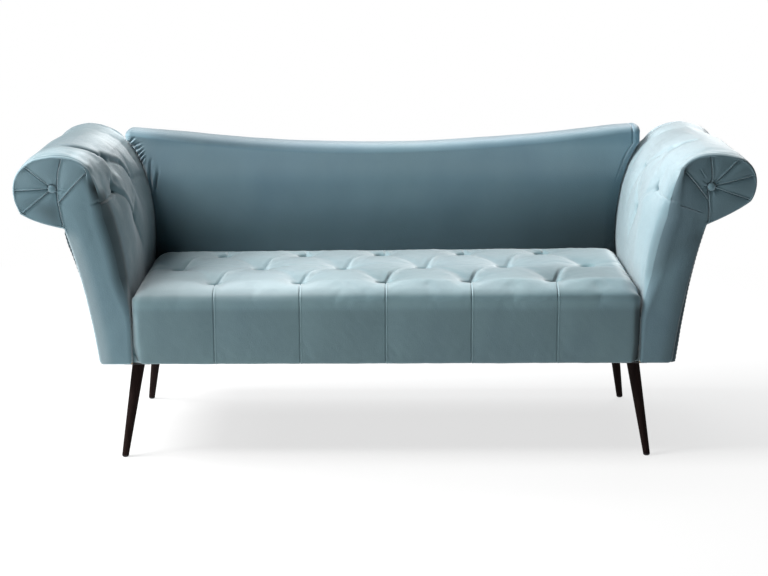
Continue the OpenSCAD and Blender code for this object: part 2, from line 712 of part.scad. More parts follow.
module back_outer_panel() {
    color("#587582") upright(y_back - back_panel_t, back_panel_t) polygon(concat(
        [[-arm_x + soft_gap, leg_h], [arm_x - soft_gap, leg_h]],
        [for (p = rising) [p[0] - soft_gap, p[1]]],
        [for (i = [rail_top_cells:-1:-rail_top_cells])
            let (x = back_corner_x * i / rail_top_cells) [x, back_top_z(x) - back_top_pad * 0.3]],
        [for (p = reversed(rising)) [-p[0] + soft_gap, p[1]]]
    ));
}

seat_front_rail();
seat_rear_rail();
other_side() seat_side_rail();  // seat_side_rail_left
seat_side_rail();  // seat_side_rail_right
seat_cross_rails();
corner_blocks();
seat_webbing_long();
seat_webbing_cross();
seat_cushion();
dust_cover();
leg_plates();
leg_plate_screws();
leg_hanger_bolts();
other_side() leg(1);  // leg_front_left
leg(1);  // leg_front_right
other_side() leg(-1);  // leg_rear_left
leg(-1);  // leg_rear_right
foot_glides();
other_side() arm_front_board();  // arm_front_board_left
arm_front_board();  // arm_front_board_right
other_side() arm_rear_board();  // arm_rear_board_left
arm_rear_board();  // arm_rear_board_right
other_side() arm_bottom_rail();  // arm_bottom_rail_left
arm_bottom_rail();  // arm_bottom_rail_right
other_side() arm_battens();  // arm_battens_left
arm_battens();  // arm_battens_right
other_side() arm_liner();  // arm_liner_left
arm_liner();  // arm_liner_right
other_side() arm_outer_panel();  // arm_outer_panel_left
arm_outer_panel();  // arm_outer_panel_right
other_side() arm_pad();  // arm_pad_left
arm_pad();  // arm_pad_right
other_side() arm_front_facing();  // arm_front_facing_left
arm_front_facing();  // arm_front_facing_right
other_side() arm_rear_facing();  // arm_rear_facing_left
arm_rear_facing();  // arm_rear_facing_right
other_side() scroll_button();  // scroll_button_left
scroll_button();  // scroll_button_right
arm_bolts();
other_side() back_post();  // back_post_left
back_post();  // back_post_right
back_top_rail();
back_bottom_rail();
back_stiles();
back_webbing();
back_pad();
back_outer_panel();
back_bolts();
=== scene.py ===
# %% [markdown]
# A fainting couch in velvet: a tufted seat between two scrolled arms, with a plain dished back.
# Each soft part starts as a regular sheet of points, because tufts, pleats and seams are then
# easy to place: a point knows how far along the couch and how far round the padding it lies.
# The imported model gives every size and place, so this cell loads it and keeps its box.

# %% Load the frame
import json
import math
import bmesh
import bpy
import numpy as np
from mathutils import Matrix, Vector, geometry


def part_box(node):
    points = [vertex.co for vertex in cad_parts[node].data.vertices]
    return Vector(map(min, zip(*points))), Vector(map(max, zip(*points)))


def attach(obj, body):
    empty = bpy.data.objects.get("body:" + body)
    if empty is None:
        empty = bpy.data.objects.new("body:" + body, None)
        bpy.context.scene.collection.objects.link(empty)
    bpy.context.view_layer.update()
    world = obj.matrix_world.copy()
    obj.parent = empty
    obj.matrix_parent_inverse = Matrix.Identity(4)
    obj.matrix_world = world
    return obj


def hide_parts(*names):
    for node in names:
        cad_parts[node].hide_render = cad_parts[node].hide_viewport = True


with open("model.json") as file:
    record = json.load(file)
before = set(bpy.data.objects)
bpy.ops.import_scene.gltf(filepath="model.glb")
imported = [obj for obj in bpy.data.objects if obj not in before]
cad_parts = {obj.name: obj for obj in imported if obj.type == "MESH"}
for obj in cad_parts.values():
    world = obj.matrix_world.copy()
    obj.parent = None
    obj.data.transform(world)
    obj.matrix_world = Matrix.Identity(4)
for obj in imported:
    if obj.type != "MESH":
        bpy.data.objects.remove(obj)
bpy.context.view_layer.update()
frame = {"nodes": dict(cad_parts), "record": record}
RNG = np.random.default_rng(7)
MM = 0.001
print("nodes in the frame:", len(frame["nodes"]))

# %% [markdown]
# The arm's section is the couch's signature. It is written as shares of the arm's reach and
# height, and the facing's box in the frame turns those shares into metres. The path runs from
# the arm's inner foot, up the inside, over the roll, round the nose and under it to the neck.
# The two scrolls were stuffed by hand, so the left one hangs a little lower than the right.

# %% Arm section
facing_lo, facing_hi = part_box("arm_front_facing_right")
ARM_X, Y_FACE, UNDER = facing_lo.x, facing_lo.y, facing_lo.z
FACING_T = facing_hi.y - facing_lo.y
Y_REAR_FACING, Y_REAR = (c.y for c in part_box("arm_rear_facing_right"))
INNER_SHARES = [[0, 0], [0, 0.44], [0.09, 0.635], [0.31, 0.93]]
TOP_SHARES = [[0.31, 0.93], [0.45, 1.03], [0.72, 0.995], [0.80, 0.985]]
NOSE_SHARES = [[0.80, 0.985], [1.02, 0.97], [1.04, 0.83], [0.955, 0.765]]
UNDER_SHARES = [[0.955, 0.765], [0.86, 0.73], [0.70, 0.69], [0.557, 0.665]]
SIDE_SHARES = {
    1: ([[0.80, 0.985], [1.01, 0.965], [1.02, 0.84], [0.94, 0.778]],
        [[0.94, 0.778], [0.85, 0.74], [0.70, 0.70], [0.557, 0.668]]),
    -1: ([[0.80, 0.985], [0.99, 0.945], [1.06, 0.84], [0.94, 0.727]],
         [[0.94, 0.727], [0.82, 0.687], [0.70, 0.673], [0.557, 0.656]])}

CURVE_STEPS = 60
OUTER_PANEL_T = 0.006
UPRIGHT_TO, CURVED_FROM = 0.085, 0.17


def bezier(points, count=CURVE_STEPS):
    """A smooth curve of count steps, drawn from four control points."""
    t = np.linspace(0, 1, count + 1)[:, None]
    c = np.array(points, float)
    u = 1 - t
    return u ** 3 * c[0] + 3 * u ** 2 * t * c[1] + 3 * u * t * t * c[2] + t ** 3 * c[3]


def smooth(x, a, b):
    """A soft step from zero at a to one at b, which may lie on either side of a."""
    t = np.clip((x - a) / (b - a), 0, 1)
    return t * t * (3 - 2 * t)


def chain(*paths):
    """Paths joined end to end, with each joint kept once."""
    return np.vstack([paths[0]] + [p[1:] for p in paths[1:]])


def section(*parts):
    return chain(*(bezier(part) for part in parts))


share_path = section(INNER_SHARES, TOP_SHARES, NOSE_SHARES, UNDER_SHARES)
REACH = (facing_hi.x - ARM_X) / share_path[:, 0].max()
ARM_H = (facing_hi.z - UNDER) / share_path[:, 1].max()
ARM_SIZE = np.array([REACH, ARM_H])


def upright_foot(path):
    """The section stands upright beside the seat, and its curve starts above that."""
    rising = smooth(path[:, 1], UPRIGHT_TO, CURVED_FROM)
    on_foot = np.arange(len(path)) < CURVE_STEPS
    return np.stack([np.where(on_foot, path[:, 0] * rising, path[:, 0]), path[:, 1]], axis=1)


scroll_path = upright_foot(share_path * ARM_SIZE)
scroll_paths = {
    side: upright_foot(section(INNER_SHARES, TOP_SHARES, *ends) * ARM_SIZE)
    for side, ends in SIDE_SHARES.items()}
FOOT_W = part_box("arm_outer_panel_right")[0].x + OUTER_PANEL_T - ARM_X
print("arm reach %.3f m, height %.3f m" % (REACH, ARM_H))

# %% [markdown]
# A padded surface starts as lines of points. These helpers measure a path and put points on it
# at given lengths, closer together where a seam or a pit needs more of them. Two of them say how
# far a rounded edge lies back, and they soften every border of the padding.


# %% Points along a path
def arc(path):
    """The length run along a path at each of its points."""
    steps = np.linalg.norm(np.diff(path, axis=0), axis=1)
    return np.concatenate([[0], np.cumsum(steps)])


def share(path):
    """The same, as shares of the whole length."""
    run = arc(path)
    return run / run[-1]


def at_length(path, lengths):
    """The points of a path at given lengths along it."""
    run = arc(path)
    return np.stack([np.interp(lengths, run, path[:, k]) for k in range(path.shape[1])], axis=1)


def left_of(path):
    """At each point of a path, the direction square to it on its left."""
    run = np.gradient(path, axis=0)
    run /= np.linalg.norm(run, axis=1, keepdims=True)
    return np.stack([-run[:, 1], run[:, 0]], axis=1)


def round_off(reach_and_drop, d):
    """How far a rounded end lies back: an oval quarter, at a distance d from the end."""
    reach, drop = reach_and_drop
    return drop * (1 - np.sqrt(1 - np.clip(1 - d / reach, 0, 1) ** 2))


def quarter_turn(r, depth):
    """How far a rounded edge of radius r lies back, at a depth past its start."""
    return r - np.sqrt(np.maximum(r ** 2 - np.maximum(r - depth, 0) ** 2, 0))


def stations(start, end, step, fine_step, fine_at, fine_reach):
    """Places from start to end, a step apart, and closer round the places in fine_at."""
    x = np.linspace(start, end, 4001)
    density = np.full_like(x, 1 / step)
    for place in fine_at:
        near = np.exp(-((x - place) / fine_reach) ** 4)
        density = np.maximum(density, near / fine_step)
    total = np.concatenate([[0], np.cumsum((density[1:] + density[:-1]) / 2 * np.diff(x))])
    return np.interp(np.linspace(0, total[-1], int(round(total[-1])) + 1), total, x)


print("path helpers ready; the right arm's path is %.3f m long" % arc(scroll_paths[1])[-1])

# %% [markdown]
# Sewn cloth shows as folds: a narrow valley where the thread or the tuck lies, with a lip of
# cloth standing on one side of it. One helper gives the height of such a fold along any line.
# Another gives the faint unevenness that hand-laid stuffing always has.


# %% Folds and unevenness
def fold(px, py, path, depth, width, lip=0.0, fade=(0.15, 0.15)):
    """Height of a fold sewn along a path. A lip stands on its left, or right if negative."""
    path = np.array(path, float)
    run_at = share(path)
    near = np.full(np.shape(px), 1e9)
    side, t, beyond = np.zeros_like(near), np.zeros_like(near), np.zeros_like(near)
    for k, (a, b) in enumerate(zip(path[:-1], path[1:])):
        way = (b - a) / np.linalg.norm(b - a)
        x, y = px - a[0], py - a[1]
        along_way = x * way[0] + y * way[1]
        kept = np.clip(along_way, 0, np.linalg.norm(b - a))
        off = way[0] * y - way[1] * x
        far = np.hypot(off, along_way - kept)
        new = far < near
        near = np.where(new, far, near)
        side = np.where(new, off, side)
        beyond = np.where(new, np.abs(along_way - kept), beyond)
        t = np.where(new, run_at[k] + (run_at[k + 1] - run_at[k]) * kept / np.linalg.norm(b - a), t)
    window = smooth(t, -1e-6, max(fade[0], 1e-4)) * smooth(1 - t, -1e-6, max(fade[1], 1e-4))
    valley = -depth * np.exp(-(side / width) ** 2)
    lip_side = math.copysign(2.0 * width, lip)
    ridge = abs(lip) * np.exp(-((side - lip_side) / (1.5 * width)) ** 2)
    return window * np.exp(-(beyond / width) ** 2) * (valley + ridge)


def crease(px, py, start, end, depth, width, lip=0.0, fade=(0.15, 0.15)):
    """A fold along one straight line."""
    return fold(px, py, [start, end], depth, width, lip, fade)


def ripple(*coords, scale, seed, octaves=3):
    """A smooth, repeatable unevenness between about -1 and 1, made of crossed waves."""
    rng = np.random.default_rng(seed)
    total = 0.0
    for o in range(octaves):
        for _ in range(4):
            turn = rng.normal(size=len(coords))
            turn /= np.linalg.norm(turn)
            phase = rng.uniform(0, 2 * math.pi)
            wave = sum(c * k for c, k in zip(coords, turn)) * 2 * math.pi * 1.7 ** o / scale
            total = total + np.sin(wave + phase) / 1.6 ** o
    return total / 6


print("fold helpers ready")

# %% [markdown]
# A grid of points becomes a solid in two steps. The outer and the inner grid each turn into
# four-sided faces, and their borders are then joined, with triangles where one border has more
# points than the other. The seat, the pads and the arms' outsides are closed in this way.


# %% Grids to solids
def normals(grid):
    """The direction square to a grid of points, at each point."""
    n = np.cross(np.gradient(grid, axis=0), np.gradient(grid, axis=1))
    return n / np.maximum(np.linalg.norm(n, axis=2, keepdims=True), 1e-12)


def outward(mesh):
    bm = bmesh.new()
    bm.from_mesh(mesh)
    bmesh.ops.recalc_face_normals(bm, faces=bm.faces)
    bm.to_mesh(mesh)
    bm.free()


def mesh_object(name, verts, faces, sharp_angle=None):
    """A new smooth-shaded object. Edges turned by more than the sharp angle stay crisp."""
    mesh = bpy.data.meshes.new(name)
    mesh.from_pydata(np.asarray(verts).reshape(-1, 3).tolist(), [], faces)
    mesh.validate()
    outward(mesh)
    mesh.shade_smooth()
    if sharp_angle:
        mesh.set_sharp_from_angle(angle=math.radians(sharp_angle))
    piece = bpy.data.objects.new(name, mesh)
    bpy.context.scene.collection.objects.link(piece)
    return piece


def zipper(a, b, a_at, b_at):
    """Triangles between two runs of vertices, each step taken on the run that lags."""
    faces, i, j = [], 0, 0
    while i < len(a) - 1 or j < len(b) - 1:
        if j == len(b) - 1 or (i < len(a) - 1 and a_at[i + 1] <= b_at[j + 1]):
            faces.append((a[i], a[i + 1], b[j]))
            i += 1
        else:
            faces.append((a[i], b[j + 1], b[j]))
            j += 1
    return faces


def quads(n, m, first=0):
    """The four-sided faces of a grid of n by m points, numbered from first."""
    i, j = np.meshgrid(np.arange(n - 1), np.arange(m - 1), indexing="ij")
    a = first + i * m + j
    return np.stack([a, a + 1, a + m + 1, a + m], axis=-1).reshape(-1, 4).tolist()


def loft(name, outer, inner):
    """A closed solid between an outer and an inner grid whose rows lie on the same stations."""
    n, m, k = outer.shape[0], outer.shape[1], inner.shape[1]
    base = n * m
    faces = quads(n, m) + [f[::-1] for f in quads(n, k, base)]
    for i in range(n - 1):
        a, b = i * m, base + i * k
        faces.append((a, a + m, b + k, b))
        a, b = a + m - 1, b + k - 1
        faces.append((a + m, a, b, b + k))
    for i in (0, n - 1):
        a = [i * m + j for j in range(m)]
        b = [base + i * k + j for j in range(k)]
        cap = zipper(a, b, share(outer[i]), share(inner[i]))
        faces += cap if i else [f[::-1] for f in cap]
    verts = np.vstack([outer.reshape(-1, 3), inner.reshape(-1, 3)])
    return mesh_object(name, verts, faces, sharp_angle=50)


print("solid helpers ready")

# %% [markdown]
# A material is a small tree of nodes. These helpers add a node with its values, join two nodes,
# spread a noise over the piece and blend two colours by it. The Mix node has several sockets of
# one name for its different kinds, so its colours are reached by number.


# %% Helpers for materials
MIX_A, MIX_B, MIX_RESULT = 6, 7, 2


def node_maker(material):
    tree = material.node_tree
    tree.nodes.clear()

    def add(kind, **inputs):
        node = tree.nodes.new(kind)
        for key, value in inputs.items():
            if key in node.inputs:
                node.inputs[key].default_value = value
            else:
                setattr(node, key, value)
        return node

    def join(a, out, b, into):
        tree.links.new(a.outputs[out], b.inputs[into])

    return add, join


def noise_bands(add, join, scale, detail, low, high, stretch=(1, 1, 1)):
    """Object coordinates, stretched, through a noise whose middle is spread to 0 and 1."""
    place = add("ShaderNodeTexCoord")
    mapping = add("ShaderNodeMapping", Scale=stretch)
    noise = add("ShaderNodeTexNoise", Scale=scale, Detail=detail, Roughness=0.55)
    spread = add("ShaderNodeMapRange", **{"From Min": low, "From Max": high})
    join(place, "Object", mapping, "Vector")
    join(mapping, "Vector", noise, "Vector")
    join(noise, "Fac", spread, "Value")
    return spread


def blend(add, join, factor, a, b):
    """A mix of two colours, by the output of a node. Each is a fixed colour or a Mix node."""
    mix = add("ShaderNodeMix", data_type="RGBA")
    join(factor[0], factor[1], mix, "Factor")
    for slot, colour in ((MIX_A, a), (MIX_B, b)):
        if isinstance(colour, tuple):
            mix.inputs[slot].default_value = colour
        else:
            join(colour, MIX_RESULT, mix, slot)
    return mix


def linear(hex_colour):
    """A colour as it is written, turned into the values that Blender's light works with."""
    parts = [int(hex_colour[i:i + 2], 16) / 255 for i in (0, 2, 4)]
    return tuple(p / 12.92 if p <= 0.04045 else ((p + 0.055) / 1.055) ** 2.4 for p in parts) + (1.0,)


def dimmed(hex_colour, kept):
    return tuple(c * kept for c in linear(hex_colour)[:3]) + (1.0,)


print("velvet blue as light: %.3f %.3f %.3f" % linear("6B888F")[:3])

# %% [markdown]
# Velvet is a short pile. Seen square on it is dark and soft, and at a grazing angle its fibres
# catch the light, so the shader has a strong sheen. Hands and the upholsterer leave the pile
# lying in different directions: a slow noise shifts the colour between a greener and a bluer
# shade, a streaky noise adds marks, and a very fine bump breaks up the gloss. A value laid on every
# point of a piece paints light and shade: above zero painted shade, below zero a painted highlight.


# %% Velvet
def painted_foot_shade(add, join, colour, shade, fade):
    """The colour with painted shade towards the foot, and more at the foot's right end. The fade names
    the dark and the light height, and the shares that stay at the foot and at its right end."""
    dark_z, light_z, foot_share, right_share = fade
    place = add("ShaderNodeTexCoord")
    axes = add("ShaderNodeSeparateXYZ")
    height = add("ShaderNodeMapRange", **{
        "From Min": dark_z, "From Max": light_z, "To Min": 1.0, "To Max": 0.0})
    join(place, "Object", axes, "Vector")
    join(axes, "Z", height, "Value")
    colour = blend(add, join, (height, "Result"), colour, dimmed(shade, foot_share))
    rightward = add("ShaderNodeMapRange", **{"From Min": 0.1, "From Max": 0.62})
    both = add("ShaderNodeMath", operation="MULTIPLY")
    join(axes, "X", rightward, "Value")
    join(height, "Result", both, 0)
    join(rightward, "Result", both, 1)
    return blend(add, join, (both, "Value"), colour, dimmed(shade, right_share))


def velvet(name, shade, bluer, streak, fade=None):
    """Velvet of three shades. With a fade, painted shade darkens its foot."""
    material = bpy.data.materials.new(name)
    material.use_nodes = True
    add, join = node_maker(material)
    slow = noise_bands(add, join, 2.6, 1.0, 0.25, 0.75)
    marks = noise_bands(add, join, 11.0, 3.0, 0.30, 0.85, stretch=(1, 1, 0.6))
    fine = noise_bands(add, join, 420.0, 2.0, 0.3, 0.7)
    colour = blend(add, join, (slow, "Result"), linear(shade), linear(bluer))
    colour = blend(add, join, (marks, "Result"), colour, linear(streak))
    if fade:
        colour = painted_foot_shade(add, join, colour, shade, fade)
    # Painted light: an attribute on the points darkens the colour and the sheen as painted shade, and below
    # zero blends the colour towards a pale blue as a painted highlight.
    painted_light = add("ShaderNodeAttribute", attribute_name="painted_light")
    kept = add("ShaderNodeMapRange", **{"To Min": 1.0, "To Max": 0.0})
    painted_highlight_share = add("ShaderNodeMapRange", **{"From Min": 0.0, "From Max": -1.0, "To Max": 0.45})
    shaded = add("ShaderNodeVectorMath", operation="SCALE")
    join(painted_light, "Fac", kept, "Value")
    join(painted_light, "Fac", painted_highlight_share, "Value")
    join(kept, "Result", shaded, "Scale")
    colour = blend(add, join, (painted_highlight_share, "Result"), colour, linear("C9D9DF"))
    join(colour, MIX_RESULT, shaded, 0)
    rough = add("ShaderNodeMapRange", **{"To Min": 0.5, "To Max": 0.64})
    join(marks, "Result", rough, "Value")
    bump = add("ShaderNodeBump", Strength=0.35, Distance=0.0006)
    join(fine, "Result", bump, "Height")
    shader = add("ShaderNodeBsdfPrincipled", **{
        "Sheen Roughness": 0.47, "Sheen Tint": linear("F2F6F8"), "Specular IOR Level": 0.3})
    out = add("ShaderNodeOutputMaterial")
    join(kept, "Result", shader, "Sheen Weight")
    join(shaded, "Vector", shader, "Base Color")
    join(rough, "Result", shader, "Roughness")
    join(bump, "Normal", shader, "Normal")
    join(shader, "BSDF", out, "Surface")
    return material


def lay_painted_light(piece, values):
    """Painted light at each point, as a share: above zero painted shade, below zero a painted highlight."""
    painted_light = piece.data.attributes.new("painted_light", "FLOAT", "POINT")
    full = np.zeros(len(piece.data.vertices))
    full[:np.size(values)] = np.ravel(values)
    painted_light.data.foreach_set("value", full)


def band(x, start, rise, end, fall):
    """One between start and end, with soft borders of the lengths rise and fall."""
    return smooth(x, start, start + rise) * (1 - smooth(x, end, end + fall))


SEAT_VELVET = velvet("seat velvet", "6B888F", "6A8893", "76949B")
ARM_VELVET = velvet("arm velvet", "6F8C94", "6F8C98", "7997A0")
FACING_VELVET = velvet("facing velvet", "66858E", "668594", "708F9A")
# The back's fade is painted shade, darker towards its foot and more at the foot's right end.
BACK_VELVET = velvet("back velvet", "6E8F9B", "6B8CA0", "7797A4", fade=(0.40, 0.70, 0.42, 0.16))
# The outsides and rear facings take a darker copy of the same velvet: painted shade.
OUTSIDE_VELVET_SHADED = velvet("outside velvet in painted shade", "54707A", "54707C", "5C7882")
velvets = (SEAT_VELVET, ARM_VELVET, FACING_VELVET, BACK_VELVET, OUTSIDE_VELVET_SHADED)
print("velvets made:", [material.name for material in velvets])

# %% [markdown]
# Padding pushes its cover out, and buttons and seams hold it back. Blender's cloth simulation
# finds the shape between the two: the cover is a coarse sheet that is pinned where it is sewn,
# pressure swells it for twenty frames, and only the moves are kept. The fine sheet then takes
# those moves, so a seam can stay far finer than the simulated cloth.


# %% Cloth between pins
PRESSURE = 4.0
CLOTH_FRAMES = 20
CLOTH_STEP = 0.007
PIN_R = 0.0075


def swell_cloth(sheet, held, pressure, slack, most):
    """How the points of a sheet move under pressure, with the held points kept in place. The
    slack is the cloth's extra length as a share, and no point ends up moved by more than most."""
    n, m = held.shape
    mesh = bpy.data.meshes.new("cloth sheet")
    mesh.from_pydata(sheet.reshape(-1, 3).tolist(), [], quads(n, m))
    piece = bpy.data.objects.new("cloth sheet", mesh)
    bpy.context.scene.collection.objects.link(piece)
    pins = piece.vertex_groups.new(name="held")
    pins.add([int(k) for k in np.flatnonzero(held.ravel())], 1.0, "REPLACE")
    cloth = piece.modifiers.new("cloth", "CLOTH")
    rules = cloth.settings
    rules.quality = 5
    rules.mass = 0.3
    rules.tension_stiffness = 15
    rules.compression_stiffness = 15
    rules.shear_stiffness = 5
    rules.bending_stiffness = 0.5
    rules.use_pressure = True
    rules.uniform_pressure_force = pressure
    rules.vertex_group_mass = "held"
    rules.shrink_min = -slack
    rules.effector_weights.gravity = 0
    cloth.collision_settings.use_collision = False
    cloth.point_cache.frame_start = 1
    cloth.point_cache.frame_end = CLOTH_FRAMES
    for frame_number in range(1, CLOTH_FRAMES + 1):
        bpy.context.scene.frame_set(frame_number)
    shaped = piece.evaluated_get(bpy.context.evaluated_depsgraph_get())
    places = np.empty(n * m * 3)
    shaped.data.vertices.foreach_get("co", places)
    moves = places.reshape(n, m, 3) - sheet
    length = np.linalg.norm(moves, axis=2, keepdims=True)
    moved = (n * m, length.mean() / MM, length.max() / MM)
    print("cloth of %d points moved %.1f mm, at most %.1f mm" % moved)
    bpy.context.scene.frame_set(1)
    bpy.data.objects.remove(piece)
    return moves * most * np.tanh(length / most) / np.maximum(length, 1e-9)


def resample(moves, u, v, new_u, new_v):
    """Moves that are known along the lines u and v, read along other lines."""
    read = []
    for k in range(3):
        by_u = np.stack([np.interp(new_u, u, moves[:, j, k]) for j in range(len(v))], axis=1)
        read.append(np.stack([np.interp(new_v, v, row) for row in by_u]))
    return np.stack(read, axis=2)


def soften(field, times):
    """Each value drawn towards its neighbours, and the border kept."""
    for _ in range(times):
        inner = (field[:-2] + 2 * field[1:-1] + field[2:]) / 4
        field = np.concatenate([field[:1], inner, field[-1:]])
        inner = (field[:, :-2] + 2 * field[:, 1:-1] + field[:, 2:]) / 4
        field = np.concatenate([field[:, :1], inner, field[:, -1:]], axis=1)
    return field


print("cloth helpers ready, simulation", "on")

# %% [markdown]
# The seat is one cushion over the whole frame. Its cover is a sheet that runs from the back,
# forward over the front edge and down to the underside. Every button pulls it into a narrow pit,
# and the front has a seam below each front button. The sheet's second coordinate is the length
# along the cover, so a pit or a fold keeps its width where the sheet rolls over the edge. In the
# code, capital letters such as X and Q are whole grids of such values.

# %% The seat's cover
seat_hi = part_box("seat_cushion")[1]
SEAT_HALF = ARM_X - 0.0009
Y_SEAT_BACK = seat_hi.y
SEAT_TOP = UNDER + 0.194
TUFT_GAP = 0.211
TUFT_ROWS = [Y_FACE + d for d in (0.078, 0.236, 0.394)]
ROLL_PARTS = [
    [[0.070, 0.0], [0.040, 0.0], [0.021, -0.005], [0.0095, -0.014]],
    [[0.0095, -0.014], [0.0045, -0.018], [0.0, -0.026], [0.0, -0.038]]]
HEM_R = 0.007
TOP_ROUND = (0.048, 0.040)
FRONT_ROUND = (0.026, 0.017)
seam_places = [i * TUFT_GAP for i in range(-2, 3)]


def seat_profile():
    """The cover's path in (y, z): back to front along the top, over the roll, down, and under."""
    a = np.linspace(0, math.pi / 2, 24)
    corner = np.array([Y_FACE, SEAT_TOP])
    roll = chain(*(bezier(part, 16) for part in ROLL_PARTS)) + corner
    hem = np.stack([Y_FACE + HEM_R - HEM_R * np.cos(a), UNDER + HEM_R - HEM_R * np.sin(a)], 1)
    return chain(np.array([[Y_SEAT_BACK, SEAT_TOP], roll[0]]), roll, hem)


def seat_sheet(x, q):
    """The plain cover and its outward normals, on lines x across and q along the cover."""
    yz = at_length(profile, q)
    across, along_cover = np.meshgrid(x, q, indexing="ij")
    y, z = (np.broadcast_to(yz[:, k], across.shape) for k in (0, 1))
    sheet = np.stack([across, y, z], axis=2)
    out = normals(sheet)
    return across, along_cover, sheet, out * np.sign(out[len(x) // 2, 0, 2])


profile = seat_profile()
profile_len = arc(profile)[-1]
row_q = [Y_SEAT_BACK - y for y in TUFT_ROWS]
cover_q = stations(0, profile_len, 0.0032, 0.0018, row_q, 0.016)
cover_x = stations(-SEAT_HALF, SEAT_HALF, 0.0036, 0.0011, seam_places + [-SEAT_HALF, SEAT_HALF], 0.009)
X, Q, seat, seat_out = seat_sheet(cover_x, cover_q)
end_d = SEAT_HALF - np.abs(X)
print("seat cover: %d by %d points" % X.shape)

# %% [markdown]
# The buttons stand in three rows, each shifted by half a gap, and none sits exactly at its mark,
# as hands leave them. The cloth is pinned at the buttons, the seams and the borders, and starts
# already drawn into the pits, so the pressure only has to round what lies between them.

# %% The seat's buttons and cloth
PIT_DEPTH = 0.034
PIT_R = 0.0128
seat_tufts = []
for r, row in enumerate(row_q):
    count = 5 if r % 2 == 0 else 6
    for i in range(count):
        shift = RNG.normal(0, 0.003, 2)
        seat_tufts.append(((i - (count - 1) / 2) * TUFT_GAP - 0.003 + shift[0], row + shift[1] * (r > 0)))


def seat_pits(X, Q):
    """The height of the cover where the buttons draw it in, before any cloth has moved."""
    height = np.zeros_like(X)
    for tx, tq in seat_tufts:
        height -= PIT_DEPTH * np.exp(-(np.hypot(X - tx, Q - tq) / PIT_R) ** 2)
    return height


def seat_moves():
    """The simulated moves of the cover, on coarse lines."""
    x = np.linspace(-SEAT_HALF, SEAT_HALF, int(2 * SEAT_HALF / CLOTH_STEP))
    q = np.linspace(0, profile_len, int(profile_len / CLOTH_STEP))
    X, Q, sheet, out = seat_sheet(x, q)
    held = (Q > profile_len - 0.012) | (Q < 0.004) | (SEAT_HALF - np.abs(X) < 0.004)
    for tx, tq in seat_tufts:
        held |= np.hypot(X - tx, Q - tq) < PIN_R
    for s in seam_places:
        held |= (np.abs(X - s) < 0.0045) & (Q > row_q[0])
    start = sheet + out * seat_pits(X, Q)[:, :, None]
    return x, q, swell_cloth(start, held, PRESSURE, slack=0.01, most=0.012)


print("seat buttons:", len(seat_tufts))

# %% [markdown]
# The simulated moves are spread over the fine sheet, and what a needle does is added there: the
# seams, a tight throat in every pit, the little fold that leaves a pit to its upper right, and
# the faint folds from button to button. The ends are rounded last.

# %% Tufts and seams of the seat
THROAT_DEPTH, THROAT_R = 0.012, 0.0062
SEAT_FOLD = [(0.0, 0.0), (0.009, -0.030), (0.022, -0.075), (0.044, -0.125)]
height = seat_pits(X, Q)
seat_painted_light = np.zeros_like(X)
for tx, tq in seat_tufts:
    height -= THROAT_DEPTH * np.exp(-(np.hypot(X - tx, Q - tq) / THROAT_R) ** 2)
    # Painted shade in each pit.
    seat_painted_light += 1.15 * np.exp(-((X - tx + 0.003) / 0.0125) ** 2 - ((Q - tq + 0.002) / 0.013) ** 2)
for ax, aq in seat_tufts:
    for bx, bq in seat_tufts:
        next_row = 0.08 < bq - aq < 0.2
        if next_row and 0 < ax - bx < 0.75 * TUFT_GAP:
            path = [(bx + dx, bq + dq) for dx, dq in SEAT_FOLD]
            height += fold(X, Q, path, 0.0060, 0.0048, 0.0042, (0.0, 0.6))
            height -= 0.0045 * np.exp(-((X - bx - 0.004) / 0.017) ** 2 - ((Q - bq + 0.030) / 0.032) ** 2)
            # Painted shade in the fold and a painted highlight on its lip.
            seat_painted_light -= fold(X, Q, path, 0.40, 0.0050, 0.55, (0.0, 0.7))
        if next_row and 0 < bx - ax < 0.75 * TUFT_GAP:
            height += crease(X, Q, (bx, bq), (ax, aq), 0.0035, 0.016, 0.0, (0.0, 0.9))
for s in seam_places:
    height += crease(X, Q, (s, row_q[0] + 0.004), (s, profile_len), 0.0026, 0.0014, -0.0008, (0.02, 0.0))
    height += crease(X, Q, (s, row_q[2] - 0.004), (s, 0), 0.0035, 0.004, 0.0015, (0.05, 0.5))
front = smooth(Q, row_q[0] + 0.020, row_q[0] + 0.06)
height += 0.0010 * ripple(X, Q, scale=0.20, seed=3) + 0.0003 * ripple(X, Q, scale=0.05, seed=4)
height += 0.004 * X / SEAT_HALF * (1 - front)
on_top = smooth(Q, row_q[0] + 0.100, row_q[0] + 0.045)
height -= round_off(TOP_ROUND, end_d) * on_top + round_off(FRONT_ROUND, end_d) * (1 - on_top)
shift = seat_out * height[:, :, None]
coarse_x, coarse_q, moves = seat_moves()
fine = resample(moves, coarse_x, coarse_q, cover_x, cover_q)
shift = shift + soften(fine, 2) * (1 - 0.6 * front)[:, :, None]
seat = seat + shift
seat_z = seat[:, :, 2]
squeeze = np.where(X < 0, 0.003, 0.0)
squeeze = squeeze + np.where(X < 0, 0.008, 0.004) * smooth(seat_z, UNDER + 0.06, UNDER)
seat[:, :, 0] -= np.sign(X) * squeeze * smooth(end_d, 0.05, 0)
seat[:, :, 1] = np.minimum(seat[:, :, 1], Y_SEAT_BACK)
print("seat cover from %.3f to %.3f m high" % (seat_z.min(), seat_z.max()))
